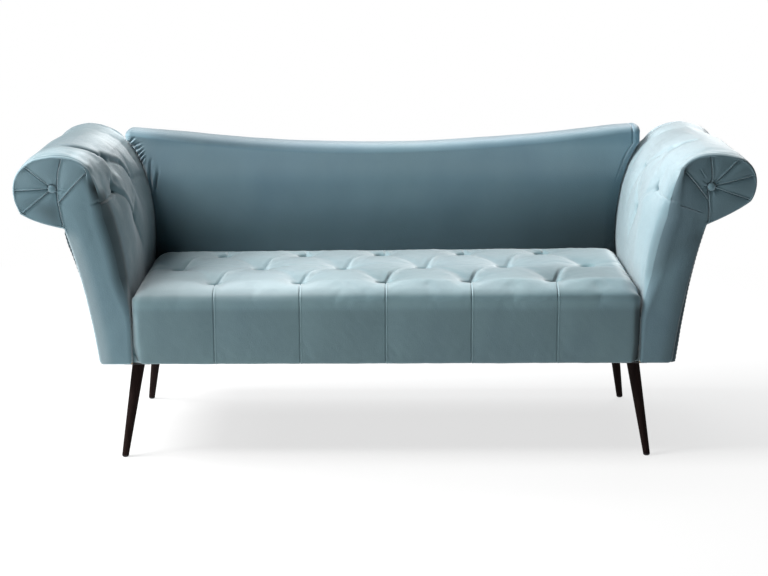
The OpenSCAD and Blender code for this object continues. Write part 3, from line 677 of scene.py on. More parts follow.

# %% [markdown]
# Inside, the cushion ends on the webbing and on the front rail. The two grids close into one
# solid, and light and shade are painted on it: painted shade in the pits and below the brow, and a
# painted highlight on the brow over the front edge and on the left of the top.

# %% Seat cushion
DECK_Z = UNDER + 0.0994
Y_RAIL = Y_FACE + 0.0196
lining_yz = np.array([[Y_SEAT_BACK, DECK_Z], [Y_RAIL, DECK_Z], [Y_RAIL, UNDER + 0.0005]])
lining_yz = at_length(lining_yz, np.linspace(0, arc(lining_yz)[-1], 24))
inner = np.zeros((len(cover_x), len(lining_yz), 3))
inner[:, :, 0] = np.clip(cover_x, -SEAT_HALF + 0.0002, SEAT_HALF - 0.0002)[:, None]
inner[:, :, 1:] = lining_yz[None]
seat_piece = loft("seat_cushion_velvet", seat, inner)
seat_piece.data.materials.append(SEAT_VELVET)
# Painted light: a painted highlight on the brow over the front edge, on the front of the left end and over
# the top, fading towards the right and the back; painted shade below the brow and low at the right end.
low = smooth(seat_z, SEAT_TOP - 0.016, SEAT_TOP - 0.040)
brow = smooth(Q, row_q[0] + 0.004, row_q[0] + 0.040) * smooth(seat_z, SEAT_TOP - 0.026, SEAT_TOP - 0.016)
seat_painted_light = seat_painted_light - 0.55 * brow + low * (0.18 - 0.22 * band(seat_z, 0.365, 0.02, 0.40, 0.02))
seat_painted_light = seat_painted_light - 0.5 * low * band(seat_z, 0.245, 0.03, 0.34, 0.04) * smooth(X, -0.606, -0.618)
seat_painted_light = seat_painted_light + 0.6 * smooth(X, 0.604, 0.616) * smooth(seat_z, 0.42, 0.36)
painted_top_light = 0.60 * smooth(X, -0.34, 0.0) * smooth(Q, 0.16, 0.30) + 0.24 * smooth(X, 0.25, 0.5) - 0.47
seat_painted_light = np.minimum(seat_painted_light + (1 - low) * painted_top_light, 0.85)
lay_painted_light(seat_piece, seat_painted_light)
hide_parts("seat_cushion")
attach(seat_piece, "root")
print("seat cushion faces:", len(seat_piece.data.polygons))

# %% [markdown]
# An arm has a pad that wraps its section and two flat facings that close its ends. Where the
# pad turns into a facing, one function gives how far the surface lies inside the outline at
# each depth behind the face. Both pieces call it, so they meet without a step: the turn is
# wide and soft below the roll, and tight with a sewn groove round the scroll.

# %% The turn from facing to pad
PAD_DEPTH = Y_REAR_FACING - Y_FACE
turn_r_table = (
    [0.0, 0.22, 0.42, 0.72, 0.90, 0.97, 4.0], [0.008, 0.012, 0.040, 0.044, 0.016, 0.006, 0.006])
groove_table = ([0.0, 0.80, 0.96, 4.0], [0.0, 0.0, 0.0035, 0.0035])
side_swell_table = (
    [0.22, 0.34, 0.42, 0.55, 0.70, 0.80, 0.86, 0.92, 0.97, 1.04, 1.12, 1.20],
    [0.0, 0.009, 0.017, 0.026, 0.033, 0.034, 0.032, 0.027, 0.021, 0.012, 0.004, 0.0])
top_swell_table = (
    [0.92, 1.00, 1.10, 1.22, 1.36, 1.55, 1.75], [0.0, 0.004, 0.014, 0.013, 0.001, -0.006, -0.002])
rear_top_table = (
    [0.90, 1.00, 1.06, 1.15, 1.22, 1.33, 1.55, 1.75],
    [0.0, 0.001, 0.001, 0.006, 0.003, -0.002, -0.006, -0.003])


def by_level(s, table):
    """A table's value at the lengths s along the pad. Its own lengths are shares of the arm's height."""
    return np.interp(s / ARM_H, *table)


def turned_in(s, depth):
    """How far the surface lies inside the outline, at a depth behind the face."""
    groove = by_level(s, groove_table) * np.exp(-((depth - FACING_T) / 0.0032) ** 2)
    return quarter_turn(by_level(s, turn_r_table), depth) + groove


def pad_swell(s, depth):
    """The side swells most in the middle of its depth, and the top swells right up to its seams."""
    to_rear = PAD_DEPTH - depth
    forward = smooth(depth, FACING_T * 0.5, 0.145)
    side = by_level(s, side_swell_table) * forward * smooth(to_rear, -0.01, 0.08)
    rear = smooth(depth, 0.22, 0.48)
    side = side * (1 - 0.8 * rear * smooth(s / ARM_H, 0.90, 1.02))
    top = by_level(s, top_swell_table) * (1 - rear) + by_level(s, rear_top_table) * rear
    return side + top * smooth(depth, 0, 0.10) * smooth(to_rear, -0.03, 0.02)


print("pad paths %.3f and %.3f m" % tuple(arc(scroll_paths[k])[-1] for k in (1, -1)))

# %% [markdown]
# The arm pad swells away from the facings, and buttons in a diamond pattern draw it in. The
# cloth simulation shapes the padding between the buttons, the seams and the folds. Folds run
# between the buttons, one runs forward into the facing's lower pleat, and one over the roll.
# The right arm is stuffed more softly than the left, so its folds and pits are shallower. Where
# the simulated cover is free to rise, the plain one starts a little lower.

# %% The arm's cover and cloth
PAD_FOOT = 0.104
CLOTH_RISE = 0.006
ARM_TUFTS = {
    1: [(0.423, 0.105), (0.347, 0.230), (0.440, 0.314), (0.509, 0.188)],
    -1: [(0.423, 0.106), (0.329, 0.222), (0.410, 0.326), (0.492, 0.172)]}
FIRMNESS = {1: 0.55, -1: 1.0}
CLOTH_MOST = {1: 0.006, -1: 0.009}
NOTCH_S = 0.413
ROLL_FOLD = {
    1: [(0.509, 0.188), (0.531, 0.168), (0.562, 0.160), (0.58, 0.157)],
    -1: [(0.492, 0.172), (0.501, 0.146), (0.515, 0.127), (0.548, 0.109), (0.596, 0.094)]}


def pad_sheet(side, s, d):
    """The pad on lines d and s: its places along the path, outward turns and plain heights."""
    base = at_length(scroll_paths[side], s)
    D, S = np.meshgrid(d, s, indexing="ij")
    rear_gap = PAD_DEPTH - D
    rear = quarter_turn(0.007, rear_gap) + 0.001 * np.exp(-(rear_gap / 0.003) ** 2)
    free = smooth(D, 0.03, 0.10) * smooth(rear_gap, 0, 0.04) * smooth(S, PAD_FOOT, PAD_FOOT + 0.08)
    free = free * (1 - smooth(S, 0.70, arc(scroll_paths[side])[-1])) * (1 - 0.85 * smooth(D, 0.44, 0.53))
    height = pad_swell(S, D) - turned_in(S, D) - rear - CLOTH_RISE * free
    firm = FIRMNESS[side]
    for ts, td in ARM_TUFTS[side]:
        r = np.hypot(S - ts, D - td)
        height -= firm * 0.007 * np.exp(-r / 0.030) + (0.004 + 0.009 * firm) * np.exp(-(r / 0.010) ** 2)
    height += fold(S, D, ROLL_FOLD[side], 0.009, 0.010, 0.0, (0.0, 0.4))
    return D, S, base, left_of(base), height


def pad_places(side, D, base, out, height):
    """The points of the pad in the room, from their heights over the plain path."""
    uv = base[None] + out[None] * height[:, :, None]
    return np.stack([side * (ARM_X + uv[:, :, 0]), Y_FACE + D, UNDER + uv[:, :, 1]], axis=2)


def pad_moves(side):
    """The simulated moves of an arm's cover, on coarse lines."""
    length = arc(scroll_paths[side])[-1]
    s = np.linspace(PAD_FOOT, length, int((length - PAD_FOOT) / CLOTH_STEP))
    d = np.linspace(FACING_T, PAD_DEPTH, int(PAD_DEPTH / CLOTH_STEP))
    D, S, base, out, height = pad_sheet(side, s, d)
    held = (D < 0.020 + 0.028 * (S < 0.47)) | (PAD_DEPTH - D < 0.006)
    held |= (S < PAD_FOOT + 0.005) | (S > length - 0.02)
    for ts, td in ARM_TUFTS[side]:
        held |= np.hypot(S - ts, D - td) < PIN_R
    held |= (np.abs(S - NOTCH_S) < 0.004) & (D < 0.075)
    start = pad_places(side, D, base, out, height)
    return s, d, swell_cloth(start, held, PRESSURE * side, slack=0.01, most=CLOTH_MOST[side])


print("arm buttons:", [len(ARM_TUFTS[side]) for side in (1, -1)])

# %% [markdown]
# On the fine sheet each button of the inner side gets a tight pit and a short hooked fold, like
# a comma, where the cloth was tucked under it. Light and shade are painted differently on the
# arms: the left one has painted shade near its front, and the right one a painted highlight
# with painted shade round its buttons.


# %% The arm's folds and nap
def comma(ts, td):
    return [(ts + 0.020, td + 0.006), (ts + 0.004, td - 0.003), (ts - 0.011, td + 0.007)]


def arm_folds(side, S, D, seed):
    """The fine folds and the unevenness of an arm's cover, as heights."""
    firm = FIRMNESS[side]
    height = np.zeros_like(S)
    a, b, c, t = ARM_TUFTS[side]
    for ts, td in (a, b, c):
        height -= 0.008 * np.exp(-(np.hypot(S - ts, D - td) / 0.0060) ** 2)
        height += fold(S, D, comma(ts, td), 0.007, 0.0038, 0.003 * side, (0.5, 0.4))
    height += fold(S, D, ROLL_FOLD[side], 0.005, 0.004, 0.002 * side, (0.0, 0.6))
    folds = [
        ([(a[0] + 0.036, a[1] + 0.006), a], 0.006, 0.006, 0.0025, (0.8, 0.0)),
        ([a, (NOTCH_S, 0.078), (0.412, 0.010)], 0.0045, 0.0032, 0.0014, (0.0, 0.0)),
        ([a, (0.399, 0.138), b], 0.005, 0.006, 0.002, (0.0, 0.2)),
        ([b, c], 0.004, 0.008, 0.002, (0.0, 0.2)),
        ([t, (0.463, 0.259), c], 0.007, 0.007, 0.002, (0.2, 0.1)),
        ([a, t], 0.003, 0.009, 0.0, (0.2, 0.2)),
        ([b, (0.22, 0.25)], 0.003, 0.009, 0.0, (0.0, 0.7)),
        ([c, (0.39, 0.50)], 0.003, 0.008, 0.0, (0.0, 0.5))]
    for path, depth, width, lip, fade in folds:
        height += fold(S, D, path, depth * firm, width, lip * side * firm, fade)
    height -= 0.009 * np.exp(-(((S - 0.491) / 0.010) ** 2 + ((D - 0.014) / 0.010) ** 2))
    uneven = 0.0010 * ripple(S, D, scale=0.15, seed=seed) + 0.0004 * ripple(S, D, scale=0.04, seed=seed + 1)
    return height + uneven * smooth(D, 0.012, 0.05)


def arm_painted_light(side, S, D):
    # Painted light on an arm pad: above zero painted shade, below zero a painted highlight. The left pad is
    # shaded, most near its front and on the roll, and lighter near the front just below the roll; the right
    # one is highlighted towards its top and shaded near its front, in its pits and along its folds.
    level = S / ARM_H
    if side < 0:
        painted_light = 0.72 * band(level, 0.26, 0.16, 0.80, 0.10) * (1 - smooth(D, 0.036, 0.066))
        painted_light = np.maximum(painted_light, 0.24 + 0.30 * band(level, 0.98, 0.12, 1.5, 0.2) * smooth(D, 0.03, 0.10))
        return painted_light - 0.65 * smooth(D, 0.11, 0.03) * band(level, 0.82, 0.08, 1.02, 0.06)
    painted_light = -0.40 - 0.40 * smooth(level, 0.6, 1.0) + 0.5 * smooth(level, 0.40, 0.28)
    painted_light += 0.70 * smooth(D, 0.062, 0.018) * band(level, 0.28, 0.18, 0.84, 0.12)
    for ts, td in ARM_TUFTS[side][:3]:
        painted_light += 0.8 * np.exp(-((S - ts) / 0.011) ** 2 - ((D - td) / 0.009) ** 2)
        painted_light -= fold(S, D, comma(ts, td), 1.0, 0.0045, 0.3, (0.4, 0.4))
    return painted_light - fold(S, D, ROLL_FOLD[side], 0.9, 0.006, 0.3, (0.1, 0.6))


print("arm folds ready")

# %% [markdown]
# The pad closes against a lining that lies on the arm's boards. At its foot a thin flap runs on
# below the seat, as the real cover does to be tacked to the bottom rail.

# %% Arm pads
FLAP_T = 0.0011
CORE_T = 0.030
FLAP_S = np.array([0.0015, PAD_FOOT - 0.002, PAD_FOOT - 0.001])


def pad_lining(side, d):
    """The inner grid of an arm pad: close behind the flap, and a core's thickness in above it."""
    core_s = np.linspace(PAD_FOOT, arc(scroll_paths[side])[-1], 60)
    core = at_length(scroll_paths[side], core_s)
    lining = at_length(scroll_paths[side], FLAP_S)
    lining = lining + left_of(lining) * FLAP_T * 0.2
    core = np.vstack([lining, core - left_of(core) * CORE_T])
    inner = np.zeros((len(d), len(core), 3))
    inner[:, :, 0] = side * (ARM_X + core[:, 0])[None]
    inner[:, :, 1] = (Y_FACE + d)[:, None]
    inner[:, :, 2] = UNDER + core[:, 1][None]
    return inner


def arm_pad(side, seed):
    length = arc(scroll_paths[side])[-1]
    s = np.concatenate([FLAP_S, np.linspace(PAD_FOOT, length, int((length - PAD_FOOT) / 0.003))])
    d = stations(FACING_T, PAD_DEPTH, 0.0032, 0.0012, [FACING_T, PAD_DEPTH], 0.02)
    D, S, base, out, height = pad_sheet(side, s, d)
    height = height + arm_folds(side, S, D, seed)
    above_flap = np.where(S < PAD_FOOT + 0.014, np.maximum(height, FLAP_T), height)
    height = np.where(S < PAD_FOOT, FLAP_T, above_flap)
    outer = pad_places(side, D, base, out, height)
    coarse_s, coarse_d, moves = pad_moves(side)
    fine = resample(moves, coarse_d, coarse_s, d, s)
    outer = outer + soften(fine, 4) * (S >= PAD_FOOT)[:, :, None]
    name = "right" if side > 0 else "left"
    piece = loft("arm_pad_velvet_" + name, outer, pad_lining(side, d))
    piece.data.materials.append(ARM_VELVET)
    lay_painted_light(piece, arm_painted_light(side, S, D))
    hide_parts("arm_pad_" + name)
    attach(piece, "root")
    return piece


arm_pads = [arm_pad(1, 11), arm_pad(-1, 21)]
print("arm pad faces:", [len(p.data.polygons) for p in arm_pads])

# %% [markdown]
# A facing is a flat board under thin padding, with an outline that no grid fits well, so it is
# filled with triangles. Its outline comes first: the pad's own section, closed by a bowed outer
# edge from the neck down and by small rounded corners at the foot.

# %% Facing outline
OUTER_BOWS = [(0.50, 0.68), (0.18, 0.32)]
FOOT_R = 0.010
EDGE_R = 0.006
LOOP_STEP = 0.0022


def outer_bow(side):
    """The outer edge of an arm's section, from the neck down to the foot."""
    neck = scroll_paths[side][-1]
    bows = [[FOOT_W + a * (neck[0] - FOOT_W), b * neck[1]] for a, b in OUTER_BOWS]
    return bezier([neck, *bows, [FOOT_W, 0]])


def facing_loop(side):
    """The closed outline from the inner foot round to the outer foot, with s along the pad."""
    outer = outer_bow(side)
    outer = outer[outer[:, 1] > FOOT_R]
    turn = np.linspace(0, math.pi / 2, 9)[1:]
    corner = np.stack([FOOT_W - FOOT_R + FOOT_R * np.cos(turn), FOOT_R - FOOT_R * np.sin(turn)], 1)
    heel = np.stack([EDGE_R - EDGE_R * np.sin(turn), EDGE_R - EDGE_R * np.cos(turn)], 1)
    inside = scroll_paths[side][scroll_paths[side][:, 1] > 0]
    if inside[0, 1] < EDGE_R:
        inside = np.vstack([[0, EDGE_R], inside[inside[:, 1] > EDGE_R]])
    path = np.vstack([inside, outer[1:], corner, heel[:-1]])
    closed = np.vstack([path, path[:1]])
    total = arc(closed)[-1]
    count = int(total / LOOP_STEP)
    lengths = np.arange(count) * total / count
    return at_length(closed, lengths), lengths + EDGE_R


loops = {side: facing_loop(side) for side in (1, -1)}
print("facing outline points:", [len(loops[side][0]) for side in (1, -1)])

# %% [markdown]
# The filling takes three sets of points: the outline, a lattice of equal triangles inside it, and
# for each pleat eight rows that run beside its line. Lattice points too close to a pleat or to
# the outline are left out, and one call then joins all the points with well-shaped triangles.

# %% Facing fill
LATTICE = 0.0024
PLEAT_STEP = 0.0024
PLEAT_ROWS = np.array([-3.2, -2.2, -1.2, -0.4, 0.4, 1.2, 2.2, 3.2]) * MM


def inside_of(points, polygon):
    """Which points lie inside a closed outline: a ray from them crosses it an odd number of times."""
    hit = np.zeros(len(points), bool)
    for p, q in zip(polygon, np.roll(polygon, -1, axis=0)):
        crosses = (p[1] > points[:, 1]) != (q[1] > points[:, 1])
        slope = (q[0] - p[0]) / (q[1] - p[1] if q[1] != p[1] else 1e-12)
        hit ^= crosses & (points[:, 0] < p[0] + (points[:, 1] - p[1]) * slope)
    return hit


def nearest(points, others):
    """The distance from each point to the nearest of the others, worked out in batches."""
    best = np.full(len(points), 1e9)
    for k in range(0, len(others), 64):
        part = others[k:k + 64]
        best = np.minimum(best, np.linalg.norm(points[:, None] - part[None], axis=2).min(1))
    return best


def along(start, end, offsets, step):
    """Rows of points beside a straight line, one row at each offset."""
    a, b = np.array(start), np.array(end)
    run = b - a
    length = np.linalg.norm(run)
    side = np.array([-run[1], run[0]]) / length
    t = np.linspace(0, 1, max(2, int(length / step)))[:, None]
    return np.vstack([a + run * t + side * o for o in offsets])


def parts_of(lines):
    return [(a, b) for line in lines for a, b in zip(line[:-1], line[1:])]


def fill(rim, lines, gap):
    """Points and triangles inside a rim, and for each point the numbers it came from."""
    lo, hi = rim.min(0), rim.max(0)
    u, v = np.meshgrid(np.arange(lo[0], hi[0], gap), np.arange(lo[1], hi[1], gap * 0.866), indexing="ij")
    u = u + (np.arange(u.shape[1]) % 2)[None] * gap / 2
    lattice = np.stack([u.ravel(), v.ravel()], 1)
    if lines:
        pleats = np.vstack([along(a, b, PLEAT_ROWS, PLEAT_STEP) for a, b in parts_of(lines)])
        spine = np.vstack([along(a, b, [0.0], 0.002) for a, b in parts_of(lines)])
        lattice = lattice[nearest(lattice, spine) > 4.2 * MM]
        lattice = np.vstack([lattice, pleats])
    lattice = lattice[inside_of(lattice, rim)]
    lattice = lattice[nearest(lattice, rim) > gap * 0.66]
    points = [Vector(p) for p in np.vstack([rim, lattice])]
    ring = list(range(len(rim)))
    verts, _, faces, origins, _, _ = geometry.delaunay_2d_cdt(points, [], [ring], 1, 1e-6)
    return np.array([[v.x, v.y] for v in verts]), [tuple(f) for f in faces], origins


print("filling helpers ready")

# %% [markdown]
# The pleats meet at the covered button like the ribs of a fan. Their ends, the neck's seam and
# the slanting pleat were read off the photograph, in metres across and up from the arm's inner
# foot. Each arm has its own places, since no two are sewn alike.

# %% The fan's lines
BUTTONS = {1: np.array([0.1595, 0.4405]), -1: np.array([0.1767, 0.4399])}
BUTTON_R = 0.010
FAN_ENDS = {
    1: [(0.2238, 0.5065), (0.2661, 0.4678), (0.2523, 0.4083)],
    -1: [(0.2409, 0.4920), (0.2734, 0.4343), (0.2506, 0.3789)]}
NECK_SEAM = {
    1: [(0.1540, 0.5200), (0.1589, 0.4844), (0.1600, 0.4600), (0.1515, 0.4294), (0.1529, 0.4110),
        (0.1555, 0.3864), (0.1540, 0.3450)],
    -1: [(0.1510, 0.5170), (0.1607, 0.4838), (0.1655, 0.4479), (0.1656, 0.4199), (0.1633, 0.4019),
         (0.1581, 0.3677), (0.1540, 0.3420)]}
DIAGONAL = {1: [(0.0860, 0.4862), (0.1209, 0.4479), (0.1515, 0.4085)],
            -1: [(0.0860, 0.4860), (0.1257, 0.4455), (0.1625, 0.4040)]}
LOWER = {1: [(0.1490, 0.3755), (0.1110, 0.3878), (0.0702, 0.4002), (0.0292, 0.4196)],
         -1: [(0.0920, 0.3980), (0.0618, 0.4138), (0.0282, 0.4309)]}
SHORT = {1: [(0.1274, 0.4877), (0.1487, 0.4559)], -1: [(0.0840, 0.4105), (0.0610, 0.4210)]}


def fan_lines(side):
    """Pleats from the button to the outline, through the places where they end in the photo."""
    lines = []
    for end in FAN_ENDS[side]:
        way = (np.array(end) - BUTTONS[side]) / np.linalg.norm(np.array(end) - BUTTONS[side])
        ray = BUTTONS[side] + way * np.arange(0.02, 0.2, 0.001)[:, None]
        kept = ray[inside_of(ray, loops[side][0])]
        lines.append([BUTTONS[side] + way * BUTTON_R * 0.8, kept[-1]])
    return lines


print("fan pleats:", [len(fan_lines(side)) for side in (1, -1)])

# %% [markdown]
# The facing's height starts as low padding that is fuller in the scroll. It sinks along every
# sewn line and towards the button, each pleat adds its fold, and eleven short gathers run out
# from the button at random but repeatable angles.


# %% Facing heights
def facing_height(p, rim_d, side, seed):
    u, v = p[:, 0], p[:, 1]
    du, dv = u - BUTTONS[side][0], v - BUTTONS[side][1]
    r = np.hypot(du, dv)
    in_scroll = smooth(v - 0.9 * (u - 0.152), 0.30, 0.44)
    h = 0.0030 * rim_d ** 2 / (rim_d ** 2 + 0.02 ** 2) * (0.5 + in_scroll)
    sewn = parts_of(fan_lines(side) + [NECK_SEAM[side], DIAGONAL[side]])
    seam_d = nearest(p, np.vstack([along(a, b, [0.0], 0.004) for a, b in sewn]))
    h += 0.0035 * (seam_d ** 2 / (seam_d ** 2 + 0.010 ** 2) - 1) * smooth(v, 0.25, 0.34)
    h -= 0.007 * np.exp(-(r / 0.028) ** 1.5) + 0.005 * np.exp(-(r / 0.011) ** 2)
    for line in fan_lines(side):
        h += fold(u, v, line, 0.0026, 0.0011, 0.0024, (0.02, 0.0))
    h += fold(u, v, NECK_SEAM[side], 0.0045, 0.0012, 0.0026 * side, (0.0, 0.0))
    h += fold(u, v, DIAGONAL[side], 0.0038, 0.0012, 0.0024, (0.0, 0.0))
    h += fold(u, v, LOWER[side], 0.0022, 0.0012, 0.0014, (0.25, 0.0))
    h += fold(u, v, SHORT[side], 0.0013, 0.0012, 0.0008, (0.3, 0.3))
    h -= 0.006 * np.exp(-(np.hypot(u - 0.088, v - 0.484) / 0.009) ** 2)
    gathers = np.random.default_rng(seed)
    for _ in range(11):
        turn = gathers.uniform(-math.pi, math.pi)
        way = np.array([math.cos(turn), math.sin(turn)])
        reach = gathers.uniform(0.024, 0.044)
        h += crease(du, dv, way * 0.008, way * reach, 0.0014, 0.0017, 0.0008, (0.1, 0.6))
    h += 0.0008 * ripple(u, v, scale=0.10, seed=seed) * smooth(rim_d, 0.0, 0.02)
    return h


print("facing heights ready")

# %% [markdown]
# A covered panel is closed round its board: the filled front, rings of edge points that follow
# the rounded edge back, and a flat rear. The arms' facings and the outside back all use it, each
# with its own ring, heights and place in the room.


# %% Closed panels
def close_panel(name, ring, depths, lines, heights, place, gap):
    """A closed panel: a filled front, rings of edge points at each depth, and a flat rear."""
    rim = ring(0.0)
    points, faces, origins = fill(rim, lines, gap)
    h = heights(points, nearest(points, rim))
    new_of = {o: k for k, came in enumerate(origins) for o in came if o < len(rim)}
    verts = [place(p, -hh) for p, hh in zip(points, h)]
    last = [new_of[k] for k in range(len(rim))]
    for depth in depths[1:]:
        now = list(range(len(verts), len(verts) + len(rim)))
        verts += [place(p, depth) for p in ring(depth)]
        for k in range(len(rim)):
            after = (k + 1) % len(rim)
            faces.append((last[k], last[after], now[after], now[k]))
        last = now
    rear_ring = [Vector(p) for p in ring(depths[-1])]
    rear = geometry.delaunay_2d_cdt(rear_ring, [], [list(range(len(rim)))], 1, 1e-7)
    rear_of = {k: last[o] for k, came in enumerate(rear[3]) for o in came}
    faces += [tuple(rear_of[i] for i in f) for f in rear[2] if all(i in rear_of for i in f)]
    return mesh_object(name, np.array(verts), faces, 40)


def rounded_depths(thick, count):
    """Depths through an edge, closest together at its front, where it turns most."""
    return thick * (1 - np.cos(np.linspace(0, math.pi / 2, count)))


def low_crown(rim_d, rise):
    """The height of thin padding that rises softly from its rim."""
    return rise * rim_d ** 2 / (rim_d ** 2 + 0.03 ** 2)


print("panel helpers ready")

# %% [markdown]
# Front and rear facings share the outline. The front one turns into the pad by the shared turn,
# with a nick where a pad's pleat runs in. The rear one has only a small round, and it steps in
# behind the roll. Light and shade are painted on the fronts: painted shade on the right one, and on
# the left one painted shade along its inner edge with a painted highlight along its outer one.


# %% Facings
NICK_S, NICK_DEPTH, NICK_W = 0.412, 0.0045, 0.0032
REAR_STEP = 0.014


def facing_painted_light(u, v, side):
    """Painted light on a front facing. The right one has painted shade all over, more in its scroll and along
    its edges; the left one has painted shade along its inner edge, low in its scroll and along one slanting
    line, and a painted highlight along its outer edge and high in its scroll.
    """
    inner_edge = scroll_paths[side][:CURVE_STEPS + 1]
    from_edge = u - np.interp(v, inner_edge[:, 1], inner_edge[:, 0])
    outer = outer_bow(side)[::-1]
    to_outer = np.interp(v, outer[:, 1], outer[:, 0]) - u
    rim = smooth(to_outer, 0.042, 0.002) * band(v, -0.01, 0.02, 0.31, 0.04)
    in_scroll = smooth(v - 0.9 * (u - 0.152), 0.30, 0.36)
    if side > 0:
        painted_light = 0.18 + 0.10 * in_scroll + 0.14 * in_scroll * smooth(u, 0.15, 0.10)
        return painted_light + 0.12 * band(v, 0.10, 0.08, 0.48, 0.03) * smooth(from_edge, 0.046, 0.012) + 0.35 * rim
    painted_light = 0.45 * in_scroll * smooth(v, 0.43, 0.38) * smooth(u, 0.15, 0.18)
    painted_light = painted_light - 0.12 * smooth(v, 0.43, 0.47) * in_scroll
    painted_light = painted_light + 0.60 * band(v, 0.14, 0.10, 0.43, 0.05) * smooth(from_edge, 0.036, 0.010) - 0.85 * rim
    return painted_light - fold(u, v, [(0.098, 0.472), (0.067, 0.436), (0.036, 0.381)], 0.40, 0.011, 0.0, (0.0, 0.5))


def facing_piece(name, side, front, seed):
    """A facing: its edge is rolled back by the shared turn in front, and by a small round behind."""
    thick = FACING_T if front else Y_REAR - Y_REAR_FACING
    loop, loop_s = loops[side]
    loop_out = left_of(np.vstack([loop[-1:], loop, loop[:1]]))[1:-1]
    pad_run = loop_s < arc(scroll_paths[side])[-1]

    def ring(depth):
        nick = NICK_DEPTH * FIRMNESS[side] * np.exp(-((loop_s - NICK_S) / NICK_W) ** 2)
        stepped_in = REAR_STEP * pad_run * (not front) * smooth(loop_s, 0.05, 0.12)
        behind = quarter_turn(EDGE_R, depth) + stepped_in
        inward = np.where(pad_run & front, turned_in(loop_s, depth) + nick, behind)
        return loop - loop_out * inward[:, None]

    def heights(points, rim_d):
        return facing_height(points, rim_d, side, seed) if front else low_crown(rim_d, 0.002)

    def place(p, depth):
        return (side * (ARM_X + p[0]), Y_FACE + depth if front else Y_REAR - depth, UNDER + p[1])

    lines = fan_lines(side) + [NECK_SEAM[side], DIAGONAL[side], LOWER[side]] if front else []
    gap = LATTICE if front else 0.006
    piece = close_panel(name, ring, rounded_depths(thick, 9), lines, heights, place, gap)
    if front:
        places = np.array([tuple(v.co) for v in piece.data.vertices])
        lay_painted_light(piece, facing_painted_light(side * places[:, 0] - ARM_X, places[:, 2] - UNDER, side))
    return piece


for side, word in ((1, "right"), (-1, "left")):
    facing = facing_piece("arm_front_facing_velvet_" + word, side, True, 30 + side)
    facing.data.materials.append(FACING_VELVET)
    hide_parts("arm_front_facing_" + word)
    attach(facing, "root")
    rear = facing_piece("arm_rear_facing_velvet_" + word, side, False, 40 + side)
    rear.data.materials.append(OUTSIDE_VELVET_SHADED)
    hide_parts("arm_rear_facing_" + word)
    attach(rear, "root")
    print("facing faces:", word, len(facing.data.polygons), len(rear.data.polygons))

# %% [markdown]
# The button is a small dome covered in the same velvet. Its cover is gathered to the back, so
# the rim is slightly pleated. It stands in the dip that it pulls into the fan.


# %% Covered buttons
def covered_button(side, word):
    """A dome over a flatter underside, as rings of points between two poles."""
    rings, sectors = 12, 48
    a = np.linspace(0, math.pi, rings + 1)[:, None]
    t = np.linspace(0, 2 * math.pi, sectors, endpoint=False)[None]
    flat = np.where(a < math.pi / 2, 0.55, 0.35)
    rim = 1 + 0.035 * np.cos(10 * t) * np.sin(a) ** 4
    u = BUTTONS[side][0] + BUTTON_R * np.sin(a) * rim * np.cos(t)
    v = BUTTONS[side][1] + BUTTON_R * np.sin(a) * rim * np.sin(t)
    y = Y_FACE + 0.004 - BUTTON_R * flat * np.cos(a) + 0 * t
    verts = np.stack([side * (ARM_X + u), y, UNDER + v], axis=2)
    body = verts[1:-1].reshape(-1, 3)
    poles = np.vstack([verts[0, :1], verts[-1, :1]])
    faces = []
    for i in range(rings - 2):
        for j in range(sectors):
            k = (j + 1) % sectors
            faces.append((i * sectors + j, i * sectors + k, (i + 1) * sectors + k, (i + 1) * sectors + j))
    top, bottom = len(body), len(body) + 1
    for j in range(sectors):
        k = (j + 1) % sectors
        faces.append((top, k, j))
        faces.append((bottom, (rings - 2) * sectors + j, (rings - 2) * sectors + k))
    piece = mesh_object("scroll_button_velvet_" + word, np.vstack([body, poles]), faces)
    piece.data.materials.append(FACING_VELVET)
    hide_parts("scroll_button_" + word)
    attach(piece, "root")
    return piece


buttons = [covered_button(1, "right"), covered_button(-1, "left")]
print("buttons:", len(buttons))

# %% [markdown]
# The back is one plain pad. Its front leans a little, its top is dished and rolled, and its
# ends follow the swell of the arms. So two lines are needed first: the height of the top along
# the couch, and how far out the arm's padding leaves room at each height and depth.

# %% The back's outline
back_lo, back_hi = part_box("back_pad")
panel_lo, panel_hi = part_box("back_outer_panel")
Y_PANEL = panel_lo.y
CORNER_Z = back_hi.z
Y_BACK_FOOT = back_lo.y
Z_FOOT = back_lo.z
BACK_HALF = 0.690
DISH = 0.042
BACK_LEAN = 0.024
ROLL_R = 0.018
ROLL_DEPTH = 0.034
SIDE_GAP = 0.0015
SAG = ([-0.70, -0.60, -0.51, -0.38, -0.22, 0.0, 0.2, 0.4, 0.52, 0.58, 0.63],
       [0.0045, 0.0055, 0.0095, 0.0118, 0.0115, 0.0095, 0.0070, 0.0040, 0.0010, 0.0, -0.0025])


def top_z(x):
    """The dished top: it sags a little more left of the middle."""
    t = np.minimum(1, np.abs(x) / BACK_HALF) ** 2
    return CORNER_Z - DISH * (1 - t * (1.25 - 0.25 * t)) - np.interp(x, *SAG)


side_s = np.linspace(PAD_FOOT, arc(scroll_path)[CURVE_STEPS + 20], 220)
side_base = at_length(scroll_path, side_s)
side_out = left_of(side_base)


def arm_side_x(z, depth):
    """How far from the middle the arm pad's inner side stands, at heights z and one depth."""
    uv = side_base + side_out * (pad_swell(side_s, depth) + SIDE_GAP)[:, None]
    rising = np.concatenate([[True], uv[1:, 1] > np.maximum.accumulate(uv[:, 1])[:-1]])
    return ARM_X + np.interp(z - UNDER, uv[rising, 1], uv[rising, 0])


print("back's top %.3f m high in the middle, %.3f m at its ends" % (top_z(0), top_z(BACK_HALF)))

# %% [markdown]
# The back's grid has three parts that join: the leaning front, the rolled top, and a nearly flat
# strip back to the outer panel. Its points stand closer at the ends and at the top, where the
# cover turns. Each end stops short of the arm, and the left one reaches a little further.

